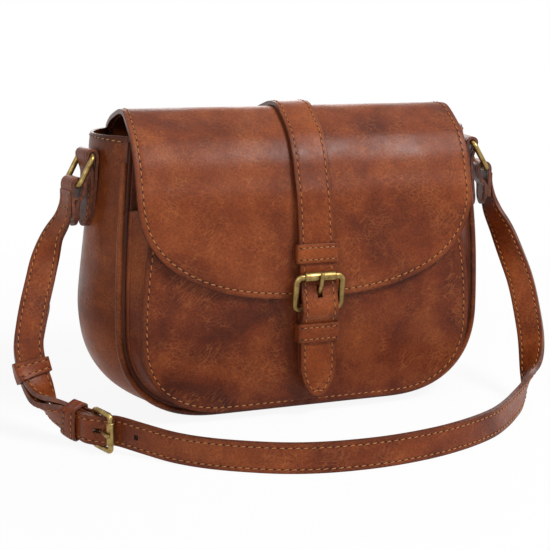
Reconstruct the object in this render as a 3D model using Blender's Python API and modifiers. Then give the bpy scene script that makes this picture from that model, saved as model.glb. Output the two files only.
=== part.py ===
"""Leather crossbody bag: a saddle-shaped body with a front pocket, a full flap closed by a
buckled centre strap over a magnetic snap, and a buckled shoulder strap on two side rings.
Metres, +Z up, front towards -Y, origin on the floor under the middle of the base."""

import math

import bmesh
import bpy
import numpy as np
from mathutils import Matrix, Vector

# Body outline, along the middle of the corded front seam
WAIST_HALF = 0.1308
RIM_HALF = 0.1205
RIM_HEIGHT = 0.1925
CORNER_RUN = 0.068
CORNER_RISE = 0.0625
SEAM_DEPTH = 0.045
FRONT_LEAN = 0.009
LEAN_HEIGHT = 0.100
FRONT_RIM = 0.189
BACK_RIM = 0.186

# Leather and fits
CLEARANCE = 0.0003
LEATHER = 0.0022
LINING = 0.0010
PIPING_RADIUS = 0.0024
PIPING_TOP = 0.176
GUSSET_BULGE = 0.0175
LINING_SLACK = 0.0006
SEAM_FLAT_SHARE = 0.5

# Front pocket
POCKET_HALF = 0.1188
POCKET_TOP_HALF = 0.1075
POCKET_TOP = 0.145
POCKET_BASE = 0.0070
POCKET_RUN = 0.060
POCKET_RISE = 0.054
POCKET_REACH = 0.0625
POCKET_DOME = 0.0015
POCKET_STEP = 0.0046
POCKET_EDGE = 0.0012

# Flap
FLAP_HALF = 0.119
FLAP_THICKNESS = 0.0032
FLAP_SEAT = 0.0006
CREST_RISE = 0.0215
HINGE_HEIGHT = 0.187
HEM_HEIGHT = 0.083
FLAP_CORNER = 0.072
YOKE_DROP = 0.036
YOKE_CORNER = 0.012

# Centre strap, chape and their loops
CENTRE_WIDTH = 0.025
CENTRE_THICKNESS = 0.0028
STRAP_START = 0.010
TIP_LENGTH = 0.022
TIP_HEIGHT = 0.0155
TAIL_GAP = 0.0026
LOOP_LEATHER = 0.0013
LOOP_SLACK = 0.0010
LOOP_PLAY = 0.0006
LOOP_CORNER = 0.0017
FLAP_KEEPER_LENGTH = 0.0133
CHAPE_KEEPER_HEIGHT = 0.0605
CHAPE_THICKNESS = 0.0016
CHAPE_END = 0.0235
CHAPE_RETURN = 0.0045
SLOT_HALF = 0.0020
SNAP_RADIUS = 0.008
SNAP_THICKNESS = 0.0014
SNAP_PARTING = 0.0004
SNAP_HEIGHT = 0.040

# Flap buckle
BUCKLE_HALF = 0.0163
BUCKLE_WIRE = 0.0022
BUCKLE_CORNER = 0.004
BUCKLE_ROLLER = 0.0032
BUCKLE_PRONG = 0.0012
HEEL_HEIGHT = 0.0766
ROLLER_HEIGHT = 0.0994
KEEPER_RISE = 0.00455
FLAP_KEEPER_HEIGHT = ROLLER_HEIGHT + BUCKLE_ROLLER + KEEPER_RISE + FLAP_KEEPER_LENGTH / 2
ROLLER_LENGTH = 0.022
HOLE_LENGTH = 0.0104
HOLE_WIDTH = 0.0036
PRONG_OVERHANG = 0.0045
PRONG_LIFT_SHARE = 0.35
PRONG_KNEE_SHARE = 0.55
PRONG_TIP_SHARE = 0.95
CURL_START = math.radians(-20)
CURL_END = math.radians(-220)
LIFT_SHARE = 0.6
TAIL_FALL_SHARES = (0.62, 1.1)
CHAPE_RETURN_SHARES = ((0.93, 0.62), (0.35, 1))

# Side tabs and rings
TAB_PLACE = -0.008
TAB_WIDTH = 0.0194
TAB_LEATHER = 0.0020
TAB_FOOT = 0.131
TAB_ROLL_HEIGHT = 0.179
TAB_ROLL_PLAY = 0.0008
LEFT_TURN = math.radians(13)
TAB_SEAT = 0.0009
RIGHT_TURN = math.radians(9)
RING_WIRE = 0.0019
RING_HALF_WIDTH = 0.0122
RING_HALF_DROP = 0.0111
RING_CORNER = 0.0038
RING_SPLAY = math.radians(30)

# Shoulder strap
STRAP_WIDTH = 0.019
STRAP_THICKNESS = 0.0032
STRAP_SPREAD = 0.190
STRAP_REACH = 0.174
STRAP_PIVOT = 0.147
STRAP_END_LOOP = 0.0024
STRAP_LOOP_FOOT = 0.132
STRAP_LOOP_HANG = 0.0210
RING_PLAY = 0.0021
SHORT_END_THICKNESS = 0.0016
SHORT_END_RETURN = 0.020
STRAP_TIP_LENGTH = 0.014
STRAP_HOLE_RADIUS = 0.0013
STRAP_HOLE_PITCH = 0.025
STRAP_BUCKLE_HALF = 0.0117
STRAP_BUCKLE_WIRE = 0.0018
STRAP_BUCKLE_CORNER = 0.0025
STRAP_BUCKLE_REACH = 0.0174
STRAP_BUCKLE_ROLLER = 0.0026
STRAP_BUCKLE_PRONG = 0.0010
STRAP_ROLLER_LENGTH = 0.0150
STRAP_HOLE_LENGTH = 0.0092
STRAP_HOLE_WIDTH = 0.0034
STRAP_KEEPER_LENGTH = 0.0115
STRAP_UNDER_ROLLER = 0.0025
KEEPER_LAYER_GAP = 0.0009
FOLD_BLEND = 0.006
STRAP_LOOP_PLAY = 0.0009
TAIL_LIFT_SHARES = (1.6, 1.35)
KEEPER_REST_SHARE = 0.62
PRONG_CROSS_SHARE = 0.46
FIXED_PLACE = 0.0155
SLIDING_PLACE = 0.062
TAIL_REACH = 0.118
LOOP_FALL_SHARE = 0.6
LOOP_FALL_SHARES = ((0.8, 0.4), (0.5, 0.75))

# How finely the curved shapes are divided
UNIT = 1.0
SMOOTH_STEPS = 6
SIDE_ROWS = 7
CORNER_ROWS = 9
GUSSET_COLUMNS = 8
FLAP_COLUMNS = 14
FLAP_TOP_ROWS = 18
FLAP_HEM_ROWS = 8
STRAP_PITCH = 0.0075
BAND_SIDES = 24
ARC_STEPS = 6
CORNER_POWER = 2.4
BAND_POWER = 6.0
SIDE_CURVE = 1.8
PUNCH_SIDES = 12
ROUND_LEAST_SHARE = 0.3
STRAP_STEPS = 24
KEEPER_CUTS = 3
POCKET_COLUMNS = 8
YOKE_ROWS = 6

BULGE_SHARES = ((0, 0.80), (0.12, 0.70), (0.21, 0.74), (0.32, 0.90), (0.39, 1.0), (0.45, 0.93),
                (0.50, 0.80), (0.55, 0.60), (0.64, 0.25), (0.72, 0.05), (0.77, 0), (1, 0))
FLAP_SHARES = ((0, 0), (0.0005, 0.08), (0.030, 0.33), (0.162, 0.65), (0.342, 0.88), (0.471, 1.0), (0.574, 0.977),
               (0.643, 0.79), (0.720, 0.51), (0.789, 0.23), (0.832, -0.014), (0.880, -0.106),
               (0.914, -0.225), (0.948, -0.346), (0.970, -0.548), (0.983, -0.663), (0.996, -0.837),
               (1, -1))
RETURN_SHARES = (0.3, 0.5, 0.75, 1)
HEEL_SHARES = ((0.3, 0.15, 1.2), (0.62, 0.55, 1))
END_SHARES = (0, 0.05, 0.14, 0.3, 0.6, 1)
TIP_SHARES = ((0, 0.16), (0.08, 0.40), (0.25, 0.62), (0.5, 0.84), (0.8, 0.98), (1, 1))

parts = bpy.data.collections.new("crossbody_bag")
cutters = bpy.data.collections.new("cutters")


def clear_scene():
    for thing in list(bpy.data.objects):
        bpy.data.objects.remove(thing, do_unlink=True)
    bpy.context.scene.collection.children.link(parts)
    bpy.context.scene.collection.children.link(cutters)


def finish(name, colour, roughness, metallic=0.0):
    material = bpy.data.materials.new(name)
    material.use_nodes = True
    shader = material.node_tree.nodes["Principled BSDF"]
    shader.inputs["Base Color"].default_value = (*colour, UNIT)
    shader.inputs["Roughness"].default_value = roughness
    shader.inputs["Metallic"].default_value = metallic
    return material


def cognac(name):
    return finish(name + "_leather", (0.23, 0.065, 0.022), 0.42)


def brass(name):
    return finish(name + "_brass", (0.52, 0.38, 0.15), 0.34, 1.0)


def smooth(rows):
    """Points of a Catmull-Rom curve through the rows, whatever each row holds."""
    rows = np.array(rows, dtype=float)
    padded = np.vstack([2 * rows[0] - rows[1], rows, 2 * rows[-1] - rows[-2]])
    points = []
    for index in range(len(rows) - 1):
        before, first, second, after = padded[index:index + 4]
        for step in range(SMOOTH_STEPS):
            share = step / SMOOTH_STEPS
            linear = second - before
            square = 2 * before - 5 * first + 4 * second - after
            cube = 3 * first - before - 3 * second + after
            points.append(first + (linear * share + square * share ** 2 + cube * share ** 3) / 2)
    points.append(rows[-1])
    return np.array(points)


def unit(vector):
    vector = np.array(vector, dtype=float)
    return vector / np.linalg.norm(vector)


class Route:
    """A polyline read by distance along it; only the first `axes` values of a row are a place."""

    def __init__(self, rows, axes):
        self.rows = np.array(rows, dtype=float)
        steps = np.linalg.norm(np.diff(self.rows[:, :axes], axis=0), axis=1)
        self.marks = np.concatenate([[0.0], np.cumsum(steps)])
        self.length = self.marks[-1]
        self.axes = axes

    def at(self, distance):
        columns = [np.interp(distance, self.marks, column) for column in self.rows.T]
        return np.array(columns)

    def heading(self, distance):
        reach = self.length / len(self.rows) / 2
        ahead = self.at(min(distance + reach, self.length))
        behind = self.at(max(distance - reach, 0))
        return unit((ahead - behind)[:self.axes])


class Outline:
    """A U-shaped outline: tapered sides, rounded corners and a flat base."""

    def __init__(self, waist_half, rim_half, rim, base, run, rise):
        self.waist_half = waist_half
        self.rim_half = rim_half
        self.rim = rim
        self.base = base
        self.run = run
        self.rise = rise

    def half_at(self, height):
        share = (height - self.base - self.rise) / (self.rim - self.base - self.rise)
        return self.waist_half - (self.waist_half - self.rim_half) * max(share, 0) ** SIDE_CURVE

    def rows(self, top, grow=0.0):
        """Half widths and heights from the top down to the corner's end, grown outwards."""
        waist = self.base + self.rise
        line = []
        for step in range(SIDE_ROWS):
            height = top + (waist - top) * step / SIDE_ROWS
            line.append((self.half_at(height), height))
        for step in range(CORNER_ROWS + 1):
            angle = math.pi / 2 * step / CORNER_ROWS
            across = max(math.cos(angle), 0) ** (2 / CORNER_POWER)
            down = max(math.sin(angle), 0) ** (2 / CORNER_POWER)
            line.append((self.waist_half - self.run + self.run * across, waist - self.rise * down))
        line = np.array(line)
        heading = np.gradient(line, axis=0)
        normals = np.stack([-heading[:, 1], heading[:, 0]], axis=1)
        normals /= np.linalg.norm(normals, axis=1)[:, None]
        normals[0] = (1, 0)
        normals[-1] = (0, -1)
        return line + normals * grow, normals


def both_sides(rows):
    """The left half of a U, top down, followed by its right half, bottom up."""
    left = rows * np.array((-1, 1))
    return np.vstack([left, rows[::-1]])


def add_object(name, mesh, material):
    thing = bpy.data.objects.new(name, mesh)
    mesh.materials.append(material)
    parts.objects.link(thing)
    return thing


def thicken(thing, thickness):
    shell = thing.modifiers.new("Thickness", "SOLIDIFY")
    shell.thickness = thickness
    shell.offset = 0
    shell.use_even_offset = True
    return shell


def sheet(name, columns, rows, place, thickness, material, keep=None, thin=None):
    """A leather piece: a grid whose corners `place` puts on the middle of its thickness."""
    mesh = bpy.data.meshes.new(name)
    form = bmesh.new()
    bmesh.ops.create_grid(form, x_segments=columns, y_segments=rows, size=UNIT)
    weights = form.verts.layers.deform.verify()
    for vertex in form.verts:
        column = round((vertex.co.x + UNIT) / (2 * UNIT) * columns)
        row = round((vertex.co.y + UNIT) / (2 * UNIT) * rows)
        vertex[weights][0] = thin(row) if thin else UNIT
        vertex.co = Vector(place(column, row))
        vertex.tag = keep is not None and not keep(column, row)
    gone = [face for face in form.faces if all(corner.tag for corner in face.verts)]
    bmesh.ops.delete(form, geom=gone, context="FACES")
    form.normal_update()
    bmesh.ops.recalc_face_normals(form, faces=form.faces)
    form.to_mesh(mesh)
    form.free()
    mesh.shade_smooth()
    thing = add_object(name, mesh, material)
    shell = thicken(thing, thickness)
    if thin:
        shell.vertex_group = thing.vertex_groups.new(name="thickness").name
    return thing


def straight(centre, across, out, run):
    """Where a straight band's rings are: their middle and two directions at a place along it."""
    return lambda along: (np.array(centre) + np.array(run) * along, across, out)


def divide(form, cuts):
    """Adds rings between the two ends of a cone's wall."""
    walls = [edge for edge in form.edges if abs(edge.verts[0].co.z - edge.verts[1].co.z) > UNIT / 2]
    bmesh.ops.subdivide_edges(form, edges=walls, cuts=cuts, use_grid_fill=True)


def band(name, section, ring_at, length, thickness, material, cuts=0):
    """A closed loop: section(angle) gives its two half sizes, ring_at(along) a ring's place."""
    mesh = bpy.data.meshes.new(name)
    form = bmesh.new()
    bmesh.ops.create_cone(form, segments=BAND_SIDES, radius1=UNIT, radius2=UNIT, depth=UNIT)
    divide(form, cuts)
    for vertex in form.verts:
        wide, deep = section(math.atan2(vertex.co.y, vertex.co.x))
        centre, across, out = ring_at(vertex.co.z * length)
        vertex.co = Vector(centre + np.array(across) * wide + np.array(out) * deep)
    form.normal_update()
    bmesh.ops.recalc_face_normals(form, faces=form.faces)
    form.to_mesh(mesh)
    form.free()
    mesh.shade_smooth()
    thing = add_object(name, mesh, material)
    thicken(thing, thickness)
    return thing


def flat_section(half_wide, half_deep):
    """A flat rectangle with round corners; the four right angles fall mid-side."""
    def section(angle):
        sizes = []
        for turned, half in ((math.cos(angle), half_wide), (math.sin(angle), half_deep)):
            side = 0 if abs(turned) < math.sin(math.pi / BAND_SIDES) else math.copysign(1, turned)
            sizes.append(side * (half - LOOP_CORNER) + LOOP_CORNER * turned)
        return sizes
    return section


def round_section(radius):
    return lambda angle: (math.cos(angle) * radius, math.sin(angle) * radius)


def wire(name, points, radius, material, closed=False):
    """A round bar along the points."""
    line = bpy.data.curves.new(name, "CURVE")
    line.dimensions = "3D"
    line.bevel_depth = radius
    line.bevel_resolution = 2
    line.use_fill_caps = not closed
    spline = line.splines.new("POLY")
    spline.points.add(len(points) - 1)
    for corner, point in zip(spline.points, points):
        corner.co = (*point, UNIT)
    spline.use_cyclic_u = closed
    spline.use_smooth = True
    thing = bpy.data.objects.new(name, line)
    line.materials.append(material)
    parts.objects.link(thing)
    return thing


def frame_points(centre, across, along, half_wide, half_long, corner):
    """A rectangle with round corners, as the middle line of a bent wire."""
    points = []
    turns = ((1, 1, 0), (-1, 1, 1), (-1, -1, 2), (1, -1, 3))
    for side, end, quarter in turns:
        for step in range(ARC_STEPS + 1):
            angle = math.pi / 2 * (quarter + step / ARC_STEPS)
            wide = side * (half_wide - corner) + corner * math.cos(angle)
            far = end * (half_long - corner) + corner * math.sin(angle)
            points.append(np.array(centre) + np.array(across) * wide + np.array(along) * far)
    return points


def punch(thing, centre, axes, wide, long, depth):
    """Cuts an oval hole: axes are across the strap, along it and through it."""
    mesh = bpy.data.meshes.new(thing.name + "_punch")
    form = bmesh.new()
    bmesh.ops.create_cone(form, cap_ends=True, segments=PUNCH_SIDES, radius1=UNIT,
                          radius2=UNIT, depth=UNIT)
    across, along, through = (np.array(axis) for axis in axes)
    for vertex in form.verts:
        place = across * (vertex.co.x * wide / 2) + along * (vertex.co.y * long / 2)
        vertex.co = Vector(np.array(centre) + place + through * (vertex.co.z * depth))
    form.normal_update()
    bmesh.ops.recalc_face_normals(form, faces=form.faces)
    form.to_mesh(mesh)
    form.free()
    cutter = bpy.data.objects.new(mesh.name, mesh)
    cutter.hide_render = True
    cutter.display_type = "WIRE"
    cutters.objects.link(cutter)
    cut = thing.modifiers.new("Punched hole", "BOOLEAN")
    cut.operation = "DIFFERENCE"
    cut.object = cutter


def hinge(name, place):
    empty = bpy.data.objects.new(name, None)
    empty.location = Vector(place)
    empty.hide_render = True
    parts.objects.link(empty)
    return empty


def carry(empty, *things):
    for thing in things:
        thing.parent = empty
        thing.matrix_parent_inverse = Matrix.Translation(-empty.location)


body = Outline(WAIST_HALF, RIM_HALF, RIM_HEIGHT, PIPING_RADIUS, CORNER_RUN, CORNER_RISE)
pocket = Outline(POCKET_HALF, POCKET_TOP_HALF, POCKET_TOP, POCKET_BASE, POCKET_RUN, POCKET_RISE)
bulge_line = smooth(BULGE_SHARES)
body_path = Route(body.rows(RIM_HEIGHT)[0], 2)
half_path = body_path.length + body.waist_half - body.run
GUSSET_GAP = PIPING_RADIUS + CLEARANCE + LEATHER / 2
FLAP_REACH = POCKET_REACH + FLAP_SEAT + FLAP_THICKNESS
BACK_FACE = SEAM_DEPTH + LEATHER / 2 + CLEARANCE
HINGE_DEPTH = BACK_FACE + FLAP_THICKNESS


def front_seam(height):
    share = max(height - LEAN_HEIGHT, 0) / (RIM_HEIGHT - LEAN_HEIGHT)
    return -SEAM_DEPTH + FRONT_LEAN * share ** 2


def back_seam(height):
    return SEAM_DEPTH


def gusset_swell(side, path_share):
    bulge = np.interp(path_share, bulge_line[:, 0], bulge_line[:, 1])
    return GUSSET_BULGE * bulge * (1 - side ** 2)


def gusset_offset(side, path_share):
    """How far the gusset's outer face stands out from the corded seam's line."""
    edge = max(abs(side) - SEAM_FLAT_SHARE, 0) / (1 - SEAM_FLAT_SHARE)
    return PIPING_RADIUS * (1 - edge ** 2) + gusset_swell(side, path_share)


def gusset_half(height, depth):
    """Half width over the gusset's outer face on its sides."""
    front = front_seam(height) + GUSSET_GAP
    back = SEAM_DEPTH - GUSSET_GAP
    side = (2 * depth - front - back) / (back - front)
    return body.half_at(height) + gusset_offset(side, (RIM_HEIGHT - height) / half_path)


def panel(name, rim, seam):
    rows = body.rows(rim, -(PIPING_RADIUS + CLEARANCE))[0]

    def place(column, row):
        half, height = rows[row]
        return half * (column - 1), seam(height), height

    return sheet(name, 2, len(rows) - 1, place, LEATHER, cognac(name))


def make_gusset():
    line, normals = body.rows(RIM_HEIGHT)
    shares = body_path.marks / half_path
    line = both_sides(line)
    normals = both_sides(normals)
    shares = np.concatenate([shares, shares[::-1]])

    def place(column, row):
        side = 2 * column / GUSSET_COLUMNS - 1
        out = gusset_offset(side, shares[row]) - LEATHER / 2
        across, height = line[row] + normals[row] * out
        front = front_seam(line[row][1]) + GUSSET_GAP
        back = SEAM_DEPTH - GUSSET_GAP
        return across, front + (back - front) * column / GUSSET_COLUMNS, height

    return sheet("main_gusset", GUSSET_COLUMNS, len(line) - 1, place, LEATHER, cognac("gusset"))


def make_piping(name, seam):
    line = both_sides(body.rows(PIPING_TOP)[0])
    points = [(across, seam(height), height) for across, height in line]
    return wire(name, points, PIPING_RADIUS, cognac(name))


def make_lining():
    """An open-topped inner bag that follows the leather walls from inside."""
    margin = LEATHER / 2 + LINING / 2 + LINING_SLACK
    rim = BACK_RIM - LEATHER
    rows = body.rows(rim, -(LEATHER + LINING / 2 + LINING_SLACK))[0]
    levels = len(rows) - 1
    shares = body_path.marks / half_path
    mesh = bpy.data.meshes.new("lining")
    form = bmesh.new()
    bmesh.ops.create_cone(form, cap_ends=True, segments=BAND_SIDES, radius1=UNIT, radius2=UNIT,
                          depth=UNIT)
    lid = [face for face in form.faces if min(corner.co.z for corner in face.verts) > 0]
    bmesh.ops.delete(form, geom=lid, context="FACES_ONLY")
    divide(form, levels - 1)
    for vertex in form.verts:
        level = round((UNIT / 2 - vertex.co.z) / UNIT * levels)
        half, height = rows[level]
        angle = math.atan2(vertex.co.y, vertex.co.x)
        across = math.copysign(abs(math.cos(angle)) ** (2 / BAND_POWER), math.cos(angle))
        side = math.copysign(abs(math.sin(angle)) ** (2 / BAND_POWER), math.sin(angle))
        front = front_seam(height) + margin
        depth = front + (SEAM_DEPTH - margin - front) * (side + 1) / 2
        wide = (half + gusset_swell(side, shares[level])) * across
        vertex.co = Vector((wide, depth, height))
    form.normal_update()
    bmesh.ops.recalc_face_normals(form, faces=form.faces)
    form.to_mesh(mesh)
    form.free()
    mesh.shade_smooth()
    thing = add_object("lining", mesh, finish("cotton_lining", (0.05, 0.03, 0.02), 0.9))
    thicken(thing, LINING)
    return thing


def flap_profile():
    """The flap's outer face in side view, hinge to hem, as depth and height."""
    rows = []
    for back_share, rise_share in FLAP_SHARES:
        depth = HINGE_DEPTH - back_share * (HINGE_DEPTH + FLAP_REACH)
        rise = CREST_RISE if rise_share > 0 else HINGE_HEIGHT - HEM_HEIGHT
        rows.append((depth, HINGE_HEIGHT + rise * rise_share))
    return Route(smooth(rows), 2)


profile = flap_profile()
front_rows = profile.rows[profile.rows[:, 1] < HINGE_HEIGHT]
front_rows = front_rows[front_rows[:, 0] < 0][::-1]


def flap_depth(height):
    """Depth of the flap's outer face on its front."""
    return np.interp(height, front_rows[:, 1], front_rows[:, 0])


def flap_outward(distance):
    along = profile.heading(distance)
    return np.array((along[1], -along[0]))


def distance_at(height):
    """How far along the flap's outer face its front reaches this height."""
    behind = profile.marks[::-1]
    heights = profile.rows[:, 1][::-1]
    front = profile.rows[:, 0][::-1] < 0
    return np.interp(height, heights[front], behind[front])


def pocket_face(height):
    return -POCKET_REACH + flap_depth(max(height, HEM_HEIGHT)) + FLAP_REACH


def make_pocket():
    rows = pocket.rows(POCKET_TOP)[0]

    def front(column, row):
        half, height = rows[row]
        side = 2 * column / POCKET_COLUMNS - 1
        depth = pocket_face(height) + LEATHER / 2 + POCKET_DOME * side ** 2
        return half * side, depth, height

    sheet("pocket_front", POCKET_COLUMNS, len(rows) - 1, front, LEATHER, cognac("pocket"))
    inner = both_sides(body.rows(POCKET_TOP, -POCKET_STEP)[0])
    outer = both_sides(pocket.rows(POCKET_TOP, -POCKET_EDGE - LEATHER / 2)[0])

    def wall(column, row):
        share = column / 2
        across, height = inner[row] * (1 - share) + outer[row] * share
        back = front_seam(height) - LEATHER - CLEARANCE
        face = pocket_face(height) + LEATHER * 1.5 + POCKET_DOME + CLEARANCE
        return across, back + (face - back) * share, height

    sheet("pocket_gusset", 2, len(inner) - 1, wall, LEATHER, cognac("pocket_gusset"))


def make_flap():
    hip = distance_at(HEM_HEIGHT + FLAP_CORNER)
    rows = FLAP_TOP_ROWS + FLAP_HEM_ROWS

    def place(column, row):
        side = 2 * column / FLAP_COLUMNS - 1
        if row <= FLAP_TOP_ROWS:
            distance = max(hip * (row - 1) / (FLAP_TOP_ROWS - 1), row * FLAP_THICKNESS / 2)
        else:
            drop = (row - FLAP_TOP_ROWS) / FLAP_HEM_ROWS
            norm = (abs(side) ** CORNER_POWER + drop ** CORNER_POWER) ** (1 / CORNER_POWER)
            reach = max(abs(side), drop) / norm
            side *= reach
            distance = hip + (profile.length - hip) * drop * reach
        depth, height = profile.at(distance) - flap_outward(distance) * FLAP_THICKNESS / 2
        return side * FLAP_HALF, depth, height

    return sheet("flap_panel", FLAP_COLUMNS, rows, place, FLAP_THICKNESS, cognac("flap"))


def make_yoke():
    top = HINGE_HEIGHT - 2 * CLEARANCE

    def place(column, row):
        share = row / YOKE_ROWS
        drop = YOKE_DROP * math.sin(share * math.pi / 2)
        corner = max(drop - YOKE_DROP + YOKE_CORNER, 0) / YOKE_CORNER
        half = FLAP_HALF - YOKE_CORNER * (1 - math.sqrt(1 - corner ** 2))
        return half * (column - 1), BACK_FACE + FLAP_THICKNESS / 2, top - drop

    return sheet("flap_yoke", 2, YOKE_ROWS, place, FLAP_THICKNESS, cognac("yoke"))


def arc(centre, radius, start, end, steps):
    """Points on a circle, as two values each, from one angle to another."""
    points = []
    for step in range(steps + 1):
        angle = start + (end - start) * step / steps
        turned = np.array((math.cos(angle), math.sin(angle)))
        points.append(np.array(centre) + radius * turned)
    return points


def round_end(distance, radius):
    """Share of the half width at a distance from a rounded end."""
    near = max(min(distance / radius, 1), 0)
    return max(math.sqrt(1 - (1 - near) ** 2), ROUND_LEAST_SHARE)


class Buckle:
    """A roller buckle: a bent wire frame, a roller on its far bar and a prong on its heel bar."""

    def __init__(self, name, heel, far, across, sizes):
        half, wire_radius, corner, roller, prong, length = sizes
        self.name = name
        self.heel = np.array(heel)
        self.far = np.array(far)
        self.along = unit(self.far - self.heel)
        self.across = unit(across - self.along * np.dot(across, self.along))
        self.out = np.cross(self.across, self.along)
        self.reach = np.linalg.norm(self.far - self.heel)
        self.half = half
        self.wire = wire_radius
        self.corner = corner
        self.roller = roller
        self.prong = prong
        self.length = length

    def point(self, out, along):
        return self.heel + self.out * out + self.along * along

    def frame(self):
        middle = (self.heel + self.far) / 2
        points = frame_points(middle, self.across, self.along, self.half, self.reach / 2,
                              self.corner)
        return wire(self.name + "_frame", points, self.wire, brass(self.name), closed=True)

    def roll(self):
        inner = self.wire + CLEARANCE
        middle = (inner + self.roller) / 2
        return band(self.name + "_roller", round_section(middle),
                    straight(self.far, self.along, self.out, self.across), self.length,
                    self.roller - inner, brass(self.name + "_roller"))

    def tongue(self):
        eye = self.wire + CLEARANCE + self.prong
        over = self.roller + CLEARANCE + self.prong
        curl = arc((0, 0), eye, CURL_START, CURL_END, 2 * ARC_STEPS)
        shank = smooth([curl[-1], (over * PRONG_LIFT_SHARE, self.reach * PRONG_KNEE_SHARE),
                        (over, self.reach), (over * PRONG_TIP_SHARE, self.reach + PRONG_OVERHANG)])
        rows = np.vstack([np.array(curl), shank[2::2]])
        points = [self.point(out, along) for out, along in rows]
        return wire(self.name + "_prong", points, self.prong, brass(self.name + "_prong"))


def make_closing():
    """The buckled centre strap, its loops, and the chape with its magnetic snap."""
    socket_front = -POCKET_REACH - CLEARANCE - SNAP_THICKNESS
    stud_front = socket_front - SNAP_PARTING - SNAP_THICKNESS
    chape_depth = stud_front - CLEARANCE - CHAPE_THICKNESS / 2
    heel_depth = chape_depth - CHAPE_THICKNESS / 2 - CLEARANCE - BUCKLE_WIRE
    heel = (0, heel_depth, HEEL_HEIGHT)
    half_strap = CENTRE_THICKNESS / 2
    over_heel = heel_depth - BUCKLE_WIRE - 2 * CLEARANCE - 2 * BUCKLE_PRONG - half_strap
    standoff = LOOP_LEATHER + 2 * LOOP_PLAY + half_strap
    under_roller = -FLAP_REACH - standoff
    roller_depth = under_roller - half_strap - CLEARANCE - BUCKLE_ROLLER
    tail_depth = chape_depth - CHAPE_THICKNESS / 2 - TAIL_GAP - half_strap
    far = (0, roller_depth, ROLLER_HEIGHT)
    side = np.array((UNIT, 0, 0))
    buckle = Buckle("flap_buckle", heel, far, side,
                    (BUCKLE_HALF, BUCKLE_WIRE, BUCKLE_CORNER, BUCKLE_ROLLER, BUCKLE_PRONG,
                     ROLLER_LENGTH))
    frame = buckle.frame()
    roller = buckle.roll()
    prong = buckle.tongue()

    keeper_distance = distance_at(FLAP_KEEPER_HEIGHT)
    lifted = distance_at(FLAP_KEEPER_HEIGHT + FLAP_KEEPER_LENGTH)
    start = STRAP_START
    close = half_strap + 2 * CLEARANCE
    points = []
    for step in range(STRAP_STEPS + 1):
        distance = start + (lifted - start) * step / STRAP_STEPS
        share = max(step / STRAP_STEPS - LIFT_SHARE, 0) / (1 - LIFT_SHARE)
        gap = close + (standoff - close) * share ** 2
        points.append(profile.at(distance) + flap_outward(distance) * gap)
    points.append(profile.at(keeper_distance) + flap_outward(keeper_distance) * standoff)
    drop = HEEL_HEIGHT - CHAPE_KEEPER_HEIGHT - FLAP_KEEPER_LENGTH / 2
    points.append((under_roller, ROLLER_HEIGHT + BUCKLE_ROLLER))
    points.append((under_roller, ROLLER_HEIGHT))
    points.append(((under_roller + over_heel) / 2, (ROLLER_HEIGHT + HEEL_HEIGHT) / 2))
    points.append((over_heel, HEEL_HEIGHT))
    points.append(((over_heel + tail_depth) / 2, HEEL_HEIGHT - drop * TAIL_FALL_SHARES[0]))
    points.append((tail_depth, HEEL_HEIGHT - drop * TAIL_FALL_SHARES[1]))
    points.append((tail_depth, (HEEL_HEIGHT + TIP_HEIGHT) / 2))
    points.append((tail_depth, TIP_HEIGHT))
    strap = Route(smooth(points), 2)
    rows = round(strap.length / STRAP_PITCH * 2)
    tip = np.array(TIP_SHARES)

    def along_strap(row):
        """Rows close up towards the pointed tip."""
        body_rows = rows - len(tip) + 1
        if row <= body_rows:
            return (strap.length - TIP_LENGTH) * row / body_rows
        return strap.length - TIP_LENGTH * tip[rows - row][0]

    def place(column, row):
        distance = along_strap(row)
        share = np.interp((strap.length - distance) / TIP_LENGTH, tip[:, 0], tip[:, 1])
        depth, height = strap.at(distance)
        return CENTRE_WIDTH / 2 * share * (column - 1), depth, height

    centre_strap = sheet("centre_strap", 2, rows, place, CENTRE_THICKNESS, cognac("strap"))
    crossing = buckle.point(0, buckle.reach / 2)
    lean = unit((0, over_heel - under_roller, HEEL_HEIGHT - ROLLER_HEIGHT))
    middle = (0, (under_roller + over_heel) / 2, crossing[2])
    through = np.cross(side, lean)
    punch(centre_strap, middle, (side, lean, through), HOLE_WIDTH, HOLE_LENGTH,
          3 * CENTRE_THICKNESS)

    def loop(name, centre, out, half_deep):
        out = unit(out)
        run = np.cross(side, out)
        half_wide = CENTRE_WIDTH / 2 + LOOP_SLACK + LOOP_LEATHER / 2
        deep = half_deep + LOOP_PLAY + LOOP_LEATHER / 2
        return band(name, flat_section(half_wide, deep), straight(centre, side, out, run),
                    FLAP_KEEPER_LENGTH, LOOP_LEATHER, cognac(name))

    depth, height = profile.at(keeper_distance) + flap_outward(keeper_distance) * standoff
    outward = flap_outward(keeper_distance)
    flap_keeper = loop("flap_keeper", (0, depth, height), (0, *outward), half_strap)
    stack_back = chape_depth + CHAPE_THICKNESS / 2
    stack_front = tail_depth - half_strap
    chape_keeper = loop("chape_keeper", (0, (stack_back + stack_front) / 2, CHAPE_KEEPER_HEIGHT),
                        (0, -1, 0), (stack_back - stack_front) / 2)

    wrap = BUCKLE_WIRE + CLEARANCE + CHAPE_THICKNESS / 2
    slot_foot = HEEL_HEIGHT - wrap - BUCKLE_PRONG
    back = [(chape_depth, CHAPE_END + (slot_foot - CHAPE_END) * share) for share in END_SHARES]
    turn = arc((heel_depth, HEEL_HEIGHT), wrap, 0, math.pi, ARC_STEPS + 2)
    ends = [(heel_depth - wrap * out, HEEL_HEIGHT - CHAPE_RETURN * fall)
            for out, fall in CHAPE_RETURN_SHARES]
    line = back + [tuple(point) for point in turn] + ends
    columns = (-1, -SLOT_HALF / CENTRE_WIDTH * 2, SLOT_HALF / CENTRE_WIDTH * 2, 1)
    first = len(back) - 1
    last = len(line) - 1

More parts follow.
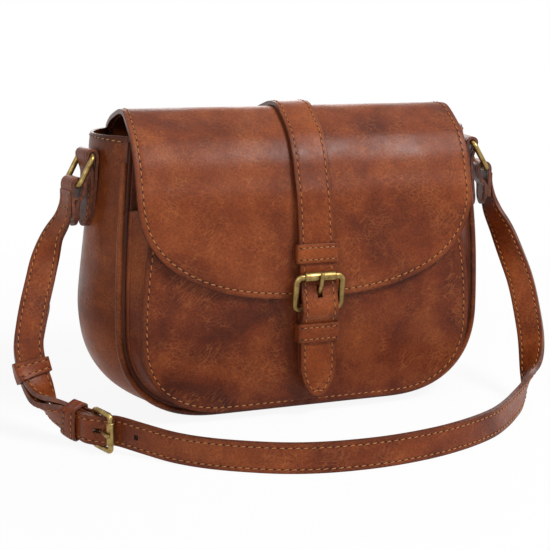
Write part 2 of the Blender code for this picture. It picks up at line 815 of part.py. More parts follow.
    def fold(column, row):
        depth, height = line[row]
        near = round_end(height - CHAPE_END, CENTRE_WIDTH / 2) if row < first else 1
        return CENTRE_WIDTH / 2 * columns[column] * near, depth, height

    def solid(column, row):
        return not (first <= row <= last and 0 < column < 3)

    chape = sheet("chape", 3, len(line) - 1, fold, CHAPE_THICKNESS, cognac("chape"), keep=solid)

    def disc(name, front):
        middle = front + SNAP_THICKNESS / 2
        mesh = bpy.data.meshes.new(name)
        form = bmesh.new()
        bmesh.ops.create_cone(form, cap_ends=True, segments=BAND_SIDES, radius1=SNAP_RADIUS,
                              radius2=SNAP_RADIUS, depth=SNAP_THICKNESS)
        turned = Matrix.Translation((0, middle, SNAP_HEIGHT)) @ Matrix.Rotation(math.pi / 2, 4, "X")
        bmesh.ops.transform(form, matrix=turned, verts=form.verts)
        form.to_mesh(mesh)
        form.free()
        return add_object(name, mesh, brass(name))

    disc("snap_socket", socket_front)
    stud = disc("snap_stud", stud_front)
    return (centre_strap, flap_keeper, chape, chape_keeper, frame, stud), roller, prong, buckle


class Side:
    """One side of the bag: the tab on the gusset, its ring and the strap's folded end."""

    def __init__(self, name, sign, turn):
        self.name = name
        self.sign = sign
        self.outward = np.array((sign * math.cos(turn), -math.sin(turn), 0))
        self.across = np.array((sign * math.sin(turn), math.cos(turn), 0))
        self.up = np.array((0, 0, UNIT))
        self.inner = TAB_SEAT + TAB_LEATHER / 2
        self.outer = self.inner + TAB_LEATHER + CLEARANCE
        self.roll = RING_WIRE + TAB_ROLL_PLAY + TAB_LEATHER / 2
        self.roll_out = self.inner + self.roll - TAB_LEATHER / 4
        self.top_bar = self.on_gusset(self.roll_out, TAB_ROLL_HEIGHT)
        hang = self.outward * math.sin(RING_SPLAY) - self.up * math.cos(RING_SPLAY)
        self.hang = hang
        self.low_bar = self.top_bar + hang * 2 * RING_HALF_DROP
        leg = RING_WIRE + CLEARANCE + STRAP_END_LOOP / 2
        self.leg = leg
        corner = STRAP_WIDTH / 2 * math.sin(turn)
        face = (leg + STRAP_END_LOOP / 2) * math.cos(turn) + corner
        reach = abs(self.low_bar[0]) + face + 2 * CLEARANCE + STRAP_THICKNESS / 2
        self.strap_place = sign * reach

    def on_gusset(self, out, height):
        level = min(height, TAB_ROLL_HEIGHT - self.roll)
        base = np.array((self.sign * gusset_half(level, TAB_PLACE), TAB_PLACE, height))
        return base + self.outward * out

    def tab(self):
        bend = TAB_ROLL_HEIGHT - 2 * self.roll
        rising = [(self.inner, TAB_FOOT + (bend - TAB_FOOT) * share) for share in END_SHARES]
        turn = arc((self.roll_out, TAB_ROLL_HEIGHT), self.roll, math.pi, 0, 2 * ARC_STEPS)
        falling = [(self.outer, height) for _, height in rising[::-1]]
        line = rising + [tuple(point) for point in turn] + falling

        def place(column, row):
            out, height = line[row]
            near = round_end(height - TAB_FOOT, TAB_WIDTH / 2)
            return self.on_gusset(out, height) + self.across * TAB_WIDTH / 2 * near * (column - 1)

        return sheet("tab_" + self.name, 2, len(line) - 1, place, TAB_LEATHER, cognac("tab"))

    def ring(self):
        middle = (self.top_bar + self.low_bar) / 2
        points = frame_points(middle, self.across, self.hang, RING_HALF_WIDTH, RING_HALF_DROP,
                              RING_CORNER)
        return wire("ring_" + self.name, points, RING_WIRE, brass("ring"), closed=True)

    def strap_loop(self):
        """The strap's end, folded over the ring's lower bar and sewn below it."""
        cavity = RING_WIRE + CLEARANCE + RING_PLAY / 2
        bend = cavity + STRAP_END_LOOP / 2
        middle = self.leg - bend
        back = middle - bend
        join = self.leg - STRAP_END_LOOP - CLEARANCE
        foot = self.low_bar[2] - STRAP_LOOP_FOOT
        fall = STRAP_LOOP_HANG * LOOP_FALL_SHARE
        turn = arc((middle, 0), bend, 0, math.pi, 2 * ARC_STEPS)
        way = [(join + (back - join) * out, -fall * down) for out, down in LOOP_FALL_SHARES]
        ends = smooth([(back, 0), *way, (join, -fall), (join, -foot)])
        start = [(self.leg, -STRAP_LOOP_HANG), (self.leg, -STRAP_LOOP_HANG / 2)]
        line = start + [tuple(point) for point in turn] + [tuple(row) for row in ends[2::2]]

        def place(column, row):
            out, rise = line[row]
            near = round_end(rise + foot, STRAP_WIDTH / 2) if out < self.leg * 0.99 else 1
            wide = self.across * STRAP_WIDTH / 2 * near * (column - 1)
            return self.low_bar + self.outward * out + self.up * rise + wide

        return sheet("strap_loop_" + self.name, 2, len(line) - 1, place, STRAP_END_LOOP,
                     cognac("strap_loop"))


# Stations of the shoulder strap from its left end to its right one: place across, place in
# depth and height of the lower edge, as shares of STRAP_SPREAD, STRAP_REACH and STRAP_PIVOT, then
# the direction of its upper edge, then how much of the buckle's rest lifts it.
STRAP_SHARES = (
    (-0.866, -0.063, 0.925, -0.25, 0.97, 0, 0),
    (-0.887, -0.072, 0.843, -0.6, 0.8, 0, 0),
    (-0.918, -0.098, 0.738, -0.9, 0.43, 0.05, 0),
    (-0.939, -0.126, 0.657, -0.95, 0.3, 0.05, 0),
    (-0.963, -0.161, 0.566, -0.96, 0.25, 0.08, 0),
    (-0.984, -0.195, 0.466, -0.96, 0.2, 0.15, 0),
    (-0.997, -0.230, 0.369, -0.93, 0.15, 0.3, 0),
    (-0.984, -0.264, 0.242, -0.84, 0.05, 0.5, 0.2),
    (-0.942, -0.316, 0.106, -0.66, -0.05, 0.74, 0.7),
    (-0.879, -0.394, 0.024, -0.28, -0.05, 0.96, 1),
    (-0.816, -0.471, 0.002, 0, 0, 1, 1),
    (-0.747, -0.549, 0, 0, 0, 1, 1),
    (-0.679, -0.629, 0, 0, 0, 1, 0.6),
    (-0.595, -0.718, 0, 0, 0, 1, 0.1),
    (-0.500, -0.805, 0, 0, 0, 1, 0),
    (-0.390, -0.879, 0, 0, 0, 1, 0),
    (-0.274, -0.937, 0, 0, 0, 1, 0),
    (-0.147, -0.971, 0, 0, 0, 1, 0),
    (0, -0.983, 0, 0, 0, 1, 0),
    (0.126, -0.974, 0, 0, 0, 1, 0),
    (0.253, -0.948, 0, 0, 0, 1, 0),
    (0.379, -0.902, 0, 0, 0, 1, 0),
    (0.495, -0.839, 0, 0, 0, 1, 0),
    (0.589, -0.759, 0, 0, 0, 1, 0),
    (0.668, -0.675, 0, 0, 0, 1, 0),
    (0.737, -0.600, 0.008, 0.05, -0.05, 1, 0),
    (0.795, -0.537, 0.058, 0.25, -0.2, 0.9, 0),
    (0.834, -0.486, 0.145, 0.5, -0.45, 0.7, 0),
    (0.863, -0.425, 0.259, 0.66, -0.62, 0.42, 0),
    (0.884, -0.348, 0.381, 0.72, -0.68, 0.2, 0),
    (0.895, -0.267, 0.524, 0.68, -0.73, 0, 0),
    (0.889, -0.187, 0.653, 0.56, -0.83, 0, 0),
    (0.876, -0.121, 0.769, 0.4, -0.9, 0, 0),
    (0.863, -0.080, 0.884, 0.2, -0.98, 0, 0),
)
HEEL_STATION = 12
PIVOT_DEPTH_SHARE = -0.057


class Strap:
    """The shoulder strap's middle line, and the pieces that follow it."""

    def __init__(self, left, right):
        depth = PIVOT_DEPTH_SHARE * STRAP_REACH
        half = STRAP_WIDTH / 2
        rest = STRAP_BUCKLE_HALF + STRAP_BUCKLE_WIRE - half + CLEARANCE
        rows = [(left.strap_place, depth, STRAP_PIVOT + half, 0, 1, 0, 0),
                (left.strap_place, depth, STRAP_PIVOT, 0, 1, 0, 0)]
        for across, forward, lift, *edge in STRAP_SHARES:
            rows.append((across * STRAP_SPREAD, forward * STRAP_REACH, lift * STRAP_PIVOT, *edge))
        rows.append((right.strap_place, depth, STRAP_PIVOT, 0, -1, 0, 0))
        rows.append((right.strap_place, depth, STRAP_PIVOT + half, 0, -1, 0, 0))
        rows = smooth(rows)
        for row in rows:
            row[3:6] = unit(row[3:6])
            row[2] += half * abs(row[5]) + rest * row[6]
        self.route = Route(rows[:, :6], 3)
        self.pivot = np.array((0, depth, STRAP_PIVOT))
        self.heel_mark = self.route.marks[HEEL_STATION * SMOOTH_STEPS]
        self.half = half

    def frame_at(self, distance):
        """Middle, heading, upper edge's direction and outward direction at a distance."""
        row = self.route.at(distance)
        heading = self.route.heading(distance)
        edge = unit(row[3:6] - heading * np.dot(row[3:6], heading))
        return row[:3], heading, edge, np.cross(heading, edge)

    def point(self, distance, out):
        middle, _, _, outward = self.frame_at(distance)
        return middle + outward * out

    def build(self):
        heel = self.point(self.heel_mark, 0)
        half_thick = STRAP_THICKNESS / 2
        roller_out = STRAP_UNDER_ROLLER + half_thick + CLEARANCE + STRAP_BUCKLE_ROLLER
        far = self.point(self.heel_mark + STRAP_BUCKLE_REACH, roller_out)
        edge = self.frame_at(self.heel_mark + STRAP_BUCKLE_REACH / 2)[2]
        buckle = Buckle("strap_buckle", heel, far, -edge,
                        (STRAP_BUCKLE_HALF, STRAP_BUCKLE_WIRE, STRAP_BUCKLE_CORNER,
                         STRAP_BUCKLE_ROLLER, STRAP_BUCKLE_PRONG, STRAP_ROLLER_LENGTH))
        frame = buckle.frame()
        roller = buckle.roll()
        prong = buckle.tongue()
        over_heel = (STRAP_BUCKLE_WIRE + 2 * CLEARANCE + 2 * STRAP_BUCKLE_PRONG + half_thick)
        layer = STRAP_THICKNESS + KEEPER_LAYER_GAP
        table = [(-TAIL_REACH, layer * TAIL_LIFT_SHARES[0])]
        for place in (SLIDING_PLACE, FIXED_PLACE):
            table.append((-place - STRAP_KEEPER_LENGTH * KEEPER_REST_SHARE, layer))
            table.append((-place + STRAP_KEEPER_LENGTH * KEEPER_REST_SHARE, layer))
        table.insert(3, (-(SLIDING_PLACE + FIXED_PLACE) / 2, layer * TAIL_LIFT_SHARES[1]))
        table += [(-FIXED_PLACE / 3, (layer + over_heel) / 2), (0, over_heel),
                  (STRAP_BUCKLE_REACH, STRAP_UNDER_ROLLER), (2 * STRAP_BUCKLE_REACH, 0),
                  (self.route.length, 0)]
        table = smooth(table)
        start = self.heel_mark - TAIL_REACH
        rows = round((self.route.length - start) / STRAP_PITCH)
        tip = np.array(TIP_SHARES)

        def long_place(column, row):
            distance = start + (self.route.length - start) * row / rows
            if row < len(tip) - 1:
                distance = start + STRAP_TIP_LENGTH * tip[row][0]
            ends = round((rows - row) * STRAP_PITCH * 1e6) / 1e6
            share = np.interp((distance - start) / STRAP_TIP_LENGTH, tip[:, 0], tip[:, 1])
            if ends < self.half:
                share = round_end(ends, self.half)
            middle, _, edge, outward = self.frame_at(distance)
            out = np.interp(distance - self.heel_mark, table[:, 0], table[:, 1])
            return middle + outward * out + edge * self.half * share * (column - 1)

        long_strap = sheet("long_strap", 2, rows, long_place, STRAP_THICKNESS, cognac("strap"))
        crossing = STRAP_BUCKLE_REACH * PRONG_CROSS_SHARE
        for count in (-3, -2, -1, 0, 1):
            place = self.heel_mark + crossing + count * STRAP_HOLE_PITCH
            middle, heading, edge, outward = self.frame_at(place)
            middle += outward * np.interp(place - self.heel_mark, table[:, 0], table[:, 1])
            wide = STRAP_HOLE_WIDTH if count == 0 else 2 * STRAP_HOLE_RADIUS
            length = STRAP_HOLE_LENGTH if count == 0 else 2 * STRAP_HOLE_RADIUS
            if count == 0:
                heading = unit(heading * STRAP_BUCKLE_REACH
                               - outward * (over_heel - STRAP_UNDER_ROLLER))
                outward = np.cross(heading, edge)
            punch(long_strap, middle, (edge, heading, outward), wide, length,
                  3 * STRAP_THICKNESS)

        thin = SHORT_END_THICKNESS
        wrap = STRAP_BUCKLE_WIRE + CLEARANCE + thin / 2
        under = -(half_thick + LOOP_PLAY + thin / 2)
        run = self.heel_mark - 2.4 * STRAP_KEEPER_LENGTH / 2
        lead = round(run / STRAP_PITCH)
        first_rows = (0, 0.15, 0.4)
        line = [(self.half * share, 0, 1) for share in first_rows]
        line += [(self.half + (run - self.half) * step / lead, 0, 1) for step in range(lead + 1)]
        for along, out, thick in HEEL_SHARES:
            line.append((run + (self.heel_mark - run) * along, wrap * out,
                         thick * thin / STRAP_THICKNESS))
        for along, out in arc((0, 0), wrap, math.pi / 2, -math.pi / 2, ARC_STEPS + 2):
            line.append((self.heel_mark + along, out, thin / STRAP_THICKNESS))
        back = SHORT_END_RETURN
        for share in RETURN_SHARES:
            line.append((self.heel_mark - back * share, under, thin / STRAP_THICKNESS))
        slot = (STRAP_BUCKLE_PRONG + 2 * CLEARANCE) / self.half
        columns = (-1, -slot, slot, 1)
        first = 3 + lead + 1
        last = len(line) - 3

        bar = -buckle.across
        ahead = self.frame_at(self.heel_mark)[1]
        ahead = unit(ahead - bar * np.dot(ahead, bar))

        def short_place(column, row):
            distance, out, _ = line[row]
            wide = self.half * round_end(distance, self.half) * columns[column]
            middle, _, edge, outward = self.frame_at(distance)
            along = distance - self.heel_mark
            share = min(max(UNIT + UNIT / 2 - abs(along) / FOLD_BLEND, 0), 1)
            folded = heel + ahead * along + np.cross(ahead, bar) * out + bar * wide
            return folded * share + (middle + outward * out + edge * wide) * (1 - share)

        def solid(column, row):
            return not (first <= row <= last and 0 < column < 3)

        short_strap = sheet("short_strap", 3, len(line) - 1, short_place, STRAP_THICKNESS,
                            cognac("strap"), keep=solid, thin=lambda row: line[row][2])

        def keeper(name, place, low, high):
            half_wide = self.half + LOOP_SLACK + LOOP_LEATHER / 2
            deep = (high - low) / 2 + STRAP_LOOP_PLAY + LOOP_LEATHER / 2

            def ring_at(along):
                middle, _, edge, outward = self.frame_at(self.heel_mark - place + along)
                return middle + outward * (low + high) / 2, edge, outward

            return band(name, flat_section(half_wide, deep), ring_at, STRAP_KEEPER_LENGTH,
                        LOOP_LEATHER, cognac(name), KEEPER_CUTS)

        top = layer + half_thick
        fixed = keeper("fixed_keeper", FIXED_PLACE, under - thin / 2, top)
        sliding = keeper("sliding_keeper", SLIDING_PLACE, -half_thick, top)
        return (long_strap, short_strap, frame, fixed, sliding), roller, prong, buckle


def main():
    clear_scene()
    panel("front_panel", FRONT_RIM, front_seam)
    panel("back_panel", BACK_RIM, back_seam)
    make_gusset()
    make_piping("front_piping", front_seam)
    make_piping("back_piping", back_seam)
    make_lining()
    make_pocket()
    make_yoke()
    flap = make_flap()
    closing, flap_roller, flap_prong, flap_buckle = make_closing()
    flap_hinge = hinge("flap_hinge", (0, HINGE_DEPTH, HINGE_HEIGHT))
    carry(flap_hinge, flap, *closing)
    carry(hinge("flap_roller_axis", flap_buckle.far), flap_roller)
    carry(hinge("flap_prong_axis", flap_buckle.heel), flap_prong)
    left = Side("left", -1, LEFT_TURN)
    right = Side("right", 1, RIGHT_TURN)
    for side in (left, right):
        side.tab()
        side.strap_loop()
        carry(hinge("ring_axis_" + side.name, side.top_bar), side.ring())
    strap = Strap(left, right)
    pieces, roller, prong, buckle = strap.build()
    carry(hinge("strap_axis", strap.pivot), *pieces)
    carry(hinge("strap_roller_axis", buckle.far), roller)
    carry(hinge("strap_prong_axis", buckle.heel), prong)


main()
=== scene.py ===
"""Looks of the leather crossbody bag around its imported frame. Metres, +Z up, front towards -Y."""

import math

import bmesh
import bpy
import numpy as np
from mathutils import Matrix, Vector
from mathutils.kdtree import KDTree


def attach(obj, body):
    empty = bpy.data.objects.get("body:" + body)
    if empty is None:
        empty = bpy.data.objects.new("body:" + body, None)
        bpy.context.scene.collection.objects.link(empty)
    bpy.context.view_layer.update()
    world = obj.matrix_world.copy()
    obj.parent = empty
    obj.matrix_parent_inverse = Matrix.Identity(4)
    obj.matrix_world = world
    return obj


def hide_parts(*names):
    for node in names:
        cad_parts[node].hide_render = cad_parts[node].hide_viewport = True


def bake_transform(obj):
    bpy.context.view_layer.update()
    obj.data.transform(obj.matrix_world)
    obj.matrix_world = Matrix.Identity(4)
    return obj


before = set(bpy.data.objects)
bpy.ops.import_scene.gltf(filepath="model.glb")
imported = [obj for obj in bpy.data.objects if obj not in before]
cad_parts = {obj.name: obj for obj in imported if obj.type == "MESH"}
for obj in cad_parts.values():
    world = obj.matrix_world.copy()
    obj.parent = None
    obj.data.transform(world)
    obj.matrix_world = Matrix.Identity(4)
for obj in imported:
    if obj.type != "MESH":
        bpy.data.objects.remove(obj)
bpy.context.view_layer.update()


# Stage: a white seamless sheet under soft boxes, seen through a 75 mm lens from a little above
# and to the left. The sheet and the world are plain white to the camera and in reflections,
# and the sheet keeps a faint shadow under the bag.
def linear(code):
    """An sRGB hex colour as linear red, green, blue and alpha."""
    values = [int(code[start:start + 2], 16) / 255 for start in (1, 3, 5)]
    return [value / 12.92 if value <= 0.04045 else ((value + 0.055) / 1.055) ** 2.4
            for value in values] + [1.0]


def feed(tree, node, inputs):
    """Sets a node's inputs, each to a value or to another node's output."""
    for socket, value in inputs.items():
        if isinstance(value, bpy.types.NodeSocket):
            tree.links.new(value, node.inputs[socket])
        else:
            node.inputs[socket].default_value = value


def add(tree, kind, inputs=None, out=0, stops=None, **settings):
    """Adds a node and returns one of its outputs."""
    made = tree.nodes.new("ShaderNode" + kind)
    for setting, value in settings.items():
        setattr(made, setting, value)
    feed(tree, made, inputs or {})
    if stops:
        ends = made.color_ramp.elements
        ends[0].position, ends[0].color = stops[0]
        ends[-1].position, ends[-1].color = stops[-1]
        for position, colour in stops[1:-1]:
            ends.new(position).color = colour
    return made.outputs[out]


def new_material(name):
    """A new material, its node tree and its shader."""
    made = bpy.data.materials.new(name)
    made.use_nodes = True
    return made, made.node_tree, made.node_tree.nodes["Principled BSDF"]


def finished(name, form, finishes):
    """A form as an object with its materials."""
    mesh = bpy.data.meshes.new(name)
    form.to_mesh(mesh)
    form.free()
    mesh.shade_smooth()
    for finish in finishes:
        mesh.materials.append(finish)
    return bpy.data.objects.new(name, mesh)


CAMERA_PLACE = (-0.2667, -0.7773, 0.2613)
CAMERA_DOWN = math.radians(12.1)
CAMERA_TURN = math.radians(-18.5)
FOCAL_PIXELS = 1150
FRAME_PIXELS = 550

scene = bpy.context.scene
scene.view_settings.view_transform = "Standard"
camera = bpy.data.objects.new("camera", bpy.data.cameras.new("camera"))
camera.data.lens = camera.data.sensor_width * FOCAL_PIXELS / FRAME_PIXELS
camera.location = CAMERA_PLACE
camera.rotation_euler = (math.pi / 2 - CAMERA_DOWN, 0, CAMERA_TURN)
scene.collection.objects.link(camera)
scene.camera = camera


def soft_box(name, place, aim, size, power):
    lamp = bpy.data.lights.new(name, "AREA")
    lamp.shape = "RECTANGLE"
    lamp.size, lamp.size_y = size
    lamp.energy = power
    thing = bpy.data.objects.new(name, lamp)
    thing.location = place
    thing.rotation_mode = "QUATERNION"
    thing.rotation_quaternion = (Vector(aim) - Vector(place)).to_track_quat("-Z", "Y")
    scene.collection.objects.link(thing)


soft_box("key_box", (0.62, -0.88, 1.25), (0, 0, 0.12), (0.5, 0.5), 18.5)
soft_box("fill_box", (-0.95, -1.1, 0.75), (0, 0, 0.1), (0.6, 0.9), 4.8)
soft_box("top_box", (0.1, 0.1, 1.5), (0, 0, 0.15), (1.2, 0.6), 1.5)
soft_box("back_box", (0.25, 1.25, 0.55), (0, 0, 0.1), (0.9, 0.7), 5)


def shown_white(tree):
    """One where the camera, a mirror or glass looks straight at it, and nought elsewhere."""
    seen = None
    for way in ("Is Camera Ray", "Is Glossy Ray", "Is Transmission Ray"):
        ray = add(tree, "LightPath", out=way)
        seen = ray if seen is None else add(tree, "Math", {0: seen, 1: ray}, operation="MAXIMUM")
    return seen


AMBIENT = 0.13
scene.world = bpy.data.worlds.new("white_studio")
scene.world.use_nodes = True
ground = scene.world.node_tree
strength = add(ground, "MapRange", {0: shown_white(ground), 3: AMBIENT, 4: 1.0})
feed(ground, ground.nodes["Background"], {"Strength": strength, "Color": linear("#ffffff")})

SHADOW_SHARE, SHADOW_NEAR, SHADOW_FAR = 0.09, 0.25, 0.75
# Matt white paper, which lights the leather from below and keeps the shadow
paper, tree, shader = new_material("white_paper_sweep")
feed(tree, shader, {"Base Color": linear("#ffffff"), "Roughness": 0.9, "Specular IOR Level": 0.0})
glow = add(tree, "Emission", {"Color": linear("#ffffff"), "Strength": 1.0})
away = add(tree, "VectorMath", {0: add(tree, "TexCoord", out="Object")}, out=1, operation="LENGTH")
whiteness = add(tree, "MapRange", {0: away, 1: SHADOW_NEAR, 2: SHADOW_FAR, 3: 1 - SHADOW_SHARE,
                                   4: 1.0})
share = add(tree, "Math", {0: shown_white(tree), 1: whiteness}, operation="MULTIPLY")
shown = add(tree, "MixShader", {0: share, 1: shader.outputs[0], 2: glow})
feed(tree, tree.nodes["Material Output"], {"Surface": shown})
form = bmesh.new()
bmesh.ops.create_grid(form, x_segments=1, y_segments=1, size=6)
floor = finished("sweep", form, [paper])
scene.collection.objects.link(floor)


# Body panels: the front and back are single pieces of full-grain pull-up leather, 2.2 mm thick,
# sewn along the corded seam. Their colour is a waxed cognac that goes paler where it bends.
def smooth(rows, steps=8):
    """Points of a Catmull-Rom curve through the rows."""
    rows = np.array(rows, dtype=float)
    padded = np.vstack([2 * rows[0] - rows[1], rows, 2 * rows[-1] - rows[-2]])
    points = []
    for index in range(len(rows) - 1):
        before, first, second, after = padded[index:index + 4]
        for step in range(steps):
            share = step / steps
            square = 2 * before - 5 * first + 4 * second - after
            cube = 3 * first - before - 3 * second + after
            points.append(first + ((second - before) * share + square * share ** 2
                                   + cube * share ** 3) / 2)
    points.append(rows[-1])
    return np.array(points)


def unit(vector):
    vector = np.array(vector, dtype=float)
    return vector / np.linalg.norm(vector)


class Route:
    """A polyline read by distance along it; the first `axes` values of a row are a place."""

    def __init__(self, rows, axes):
        self.rows = np.array(rows, dtype=float)
        steps = np.linalg.norm(np.diff(self.rows[:, :axes], axis=0), axis=1)
        self.marks = np.concatenate([[0.0], np.cumsum(steps)])
        self.length = self.marks[-1]
        self.axes = axes

    def at(self, distance):
        return np.array([np.interp(distance, self.marks, column) for column in self.rows.T])

    def heading(self, distance, reach=0.002):
        ahead = self.at(min(distance + reach, self.length))
        behind = self.at(max(distance - reach, 0))
        return unit((ahead - behind)[:self.axes])


def stations(length, pitch, ends=(0.0007, 0.0018, 0.0034)):
    """Distances along a piece: its ends, a few close to them, and even ones between."""
    near = ends[-1]
    count = max(round((length - 2 * near) / pitch), 1)
    middle = [near + (length - 2 * near) * step / count for step in range(count + 1)]
    return [0, *ends[:-1], *middle, *[length - end for end in ends[-2::-1]], length]


def ripple(x, y, z, size):
    """A slow unevenness between -1 and 1, the same each run, with waves about `size` long."""
    turn = 2 * math.pi / size
    return (math.sin(turn * (x + 0.6 * z) + 1.3) * math.sin(turn * (0.8 * z - 0.5 * x + y) + 0.4)
            + 0.6 * math.sin(turn * 1.7 * (z + 0.3 * x) + 2.1) * math.sin(turn * 1.3 * x + 0.7))


def millimetres(tree):
    """A piece's own coordinates, in millimetres."""
    return add(tree, "Mapping", {"Vector": add(tree, "TexCoord", out="Object"),
                                 "Scale": (1000, 1000, 1000)})


def waxed_leather(name, seam=0.0038, tones=("#542310", "#743617", "#914b24"), shine=0.40,
                  edge_dye_and_shade=(0.30, 3.6)):
    """Vegetable-tanned pull-up leather: waxed, so it is mottled, hair-creased and softly glossy.
    `seam` is how far inside the cut edge its stitching is pressed in, in metres. The last
    argument gives how much darker the leather grows towards its cut edge and how far in
    millimetres: partly edge dye, and partly painted shade for the grooves and parts beside it."""
    material, tree, shader = new_material(name)
    mm = millimetres(tree)
    # Each piece is cut from another place on the hide
    cut = add(tree, "Attribute", attribute_name="cut", out="Fac")
    mm = add(tree, "VectorMath", {0: cut, 1: (310, 170, 230), 2: mm}, operation="MULTIPLY_ADD")

    def noise(size, detail=3.0, rough=0.55, twist=0.0, place=mm):
        """Noise whose patches are about `size` millimetres across."""
        return add(tree, "TexNoise", {"Vector": place, "Scale": 1 / size, "Detail": detail,
                                      "Roughness": rough, "Distortion": twist})

    def sum_of(first, second, factor):
        return add(tree, "Math", {0: first, 1: factor, 2: second}, operation="MULTIPLY_ADD")

    def ranged(value, low, high, start=0.0, end=1.0):
        return add(tree, "MapRange", {0: value, 1: low, 2: high, 3: start, 4: end},
                   interpolation_type="SMOOTHSTEP")

    def net(size, angle, stretch, width, area):
        """Fine crease lines: the borders of bent cells, drawn out along one way, where worn."""
        bent = add(tree, "TexNoise", {"Vector": mm, "Scale": 1 / 5.0, "Detail": 3.0}, 1)
        bent = add(tree, "VectorMath", {0: bent, 1: (2.6, 2.6, 2.6), 2: mm},
                   operation="MULTIPLY_ADD")
        turned = add(tree, "Mapping", {"Vector": bent, "Rotation": (0.2, angle, 0.15),
                                       "Scale": (1.0, 1.0, stretch)}, vector_type="TEXTURE")
        cells = add(tree, "TexVoronoi", {"Vector": turned, "Scale": 1 / size},
                    feature="DISTANCE_TO_EDGE")
        return add(tree, "Math", {0: ranged(cells, 0.0, width, 1.0, 0.0),
                                  1: ranged(noise(area, 3.0, 0.6, 0.3), 0.48, 0.68)},
                   operation="MULTIPLY")

    deep, middle, pale = (linear(tone) for tone in tones)
    patches = sum_of(noise(11.0, 6.0, 0.66), noise(52.0, 2.0, 0.5, 0.7), 0.40)
    hide = add(tree, "ValToRGB", {"Fac": patches},
               stops=[(0.48, deep), (0.70, middle), (0.94, pale)])
    fine = noise(1.3, 5.0, 0.75)
    speck = ranged(fine, 0.30, 0.70, 0.66, 1.30)
    hide = add(tree, "Mix", {0: 1.0, 6: hide, 7: speck}, 2, data_type="RGBA",
               blend_type="MULTIPLY")
    creases = add(tree, "Math", {0: net(2.6, 0.75, 6.0, 0.10, 24.0),
                                 1: net(2.2, -0.95, 5.0, 0.10, 29.0)}, operation="MAXIMUM")
    creases = add(tree, "Math", {0: creases, 1: net(2.4, 1.5, 3.0, 0.09, 19.0)},
                  operation="MAXIMUM")
    faded = add(tree, "Math", {0: creases, 1: 0.24}, operation="MULTIPLY", use_clamp=True)
    hide = add(tree, "Mix", {0: faded, 6: hide, 7: linear("#cb7c45")}, 2, data_type="RGBA")
    # Painted shade: darker towards the cut edge, partly edge dye and partly shade in the grooves
    # beside it
    edge = add(tree, "Attribute", attribute_name="edge", out="Fac")
    rim = sum_of(noise(5.0, 3.0), edge, 2.4)
    dark = ranged(rim, 1.6, edge_dye_and_shade[1], edge_dye_and_shade[0], 0.0)
    hide = add(tree, "Mix", {0: dark, 6: hide, 7: linear("#381609")}, 2, data_type="RGBA")

    gloss = sum_of(noise(3.5, 4.0, 0.6), noise(31.0, 2.0), 0.5)
    gloss = ranged(gloss, 0.55, 0.95, shine - 0.07, shine + 0.09)

    # Pores 0.8 mm apart, a soft grain of 2.4 mm, the creases, and the pressed stitching line
    pores = add(tree, "TexVoronoi", {"Vector": mm, "Scale": 1 / 0.8}, feature="SMOOTH_F1")
    height = sum_of(noise(2.4, 3.0), 0.0, 0.09)
    height = sum_of(pores, height, 0.035)
    height = sum_of(creases, height, -0.03)
    height = sum_of(noise(12.0, 2.0), height, 0.20)
    share = add(tree, "Math", {0: edge, 1: 1 / (2000 * seam)}, operation="MULTIPLY")
    levels = ((0.0, 0.35), (0.10, 0.85), (0.26, 1.0), (0.40, 0.80), (0.50, 0.28), (0.60, 0.80),
              (0.80, 1.0), (1.0, 1.0))
    pressed = add(tree, "ValToRGB", {"Fac": share},
                  stops=[(place, (level, level, level, 1)) for place, level in levels])
    height = sum_of(pressed, height, 0.5)
    bump = add(tree, "Bump", {"Height": height, "Strength": 0.9, "Distance": 0.001})
    feed(tree, shader, {"Base Color": hide, "Roughness": gloss, "Specular IOR Level": 0.18,
                        "Coat Weight": 0.04, "Coat Roughness": 0.28, "Normal": bump})
    return material


def painted_edge(name):
    """The cut edge, bevelled, dyed dark brown and burnished with wax, so it shines softly."""
    material, tree, shader = new_material(name)
    mm = millimetres(tree)
    rub = add(tree, "TexNoise", {"Vector": mm, "Scale": 1 / 3.0, "Detail": 4.0, "Roughness": 0.6})
    colour = add(tree, "ValToRGB", {"Fac": rub},
                 stops=[(0.35, linear("#411d0e")), (0.55, linear("#623019")),
                        (0.75, linear("#88492c"))])
    fibre = add(tree, "TexNoise", {"Vector": mm, "Scale": 1 / 0.6, "Detail": 3.0})
    bump = add(tree, "Bump", {"Height": fibre, "Strength": 0.5, "Distance": 0.00015})
    feed(tree, shader, {"Base Color": colour, "Roughness": 0.42, "Normal": bump})
    return material


def link(thing, body=None, nodes=()):
    """Puts a finished piece in the scene and names what it rides on and stands for."""
    scene.collection.objects.link(thing)
    if body:
        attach(thing, body)
    if nodes:
        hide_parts(*nodes)
    return thing


def mark_edges(form, layer):
    """Gives each corner of an open sheet its distance in millimetres from the cut edge."""
    rim = [edge for edge in form.edges if edge.is_boundary]
    tree = KDTree(len(rim) * 6)
    for count, edge in enumerate(rim):
        start, end = (corner.co for corner in edge.verts)
        for step in range(6):
            tree.insert(start.lerp(end, step / 6), count * 6 + step)
    tree.balance()
    for corner in form.verts:
        corner[layer] = tree.find(corner.co)[2] * 1000


SAME_PLACE = 1e-6
cut_pieces = []


def give(thing, name, value):
    """Gives a whole piece one value of a float attribute."""
    attribute = thing.data.attributes.new(name, "FLOAT", "POINT")
    attribute.data.foreach_set("value", [value] * len(thing.data.vertices))


def thicken(thing, thickness):
    """Makes a sheet a solid of this thickness, half of it on either side."""
    shell = thing.modifiers.new("Thickness", "SOLIDIFY")
    shell.thickness = thickness
    shell.offset = 0
    return shell


def smoothed(thing):
    smoother = thing.modifiers.new("Smooth", "SUBSURF")
    smoother.levels = smoother.render_levels = 1
    return thing


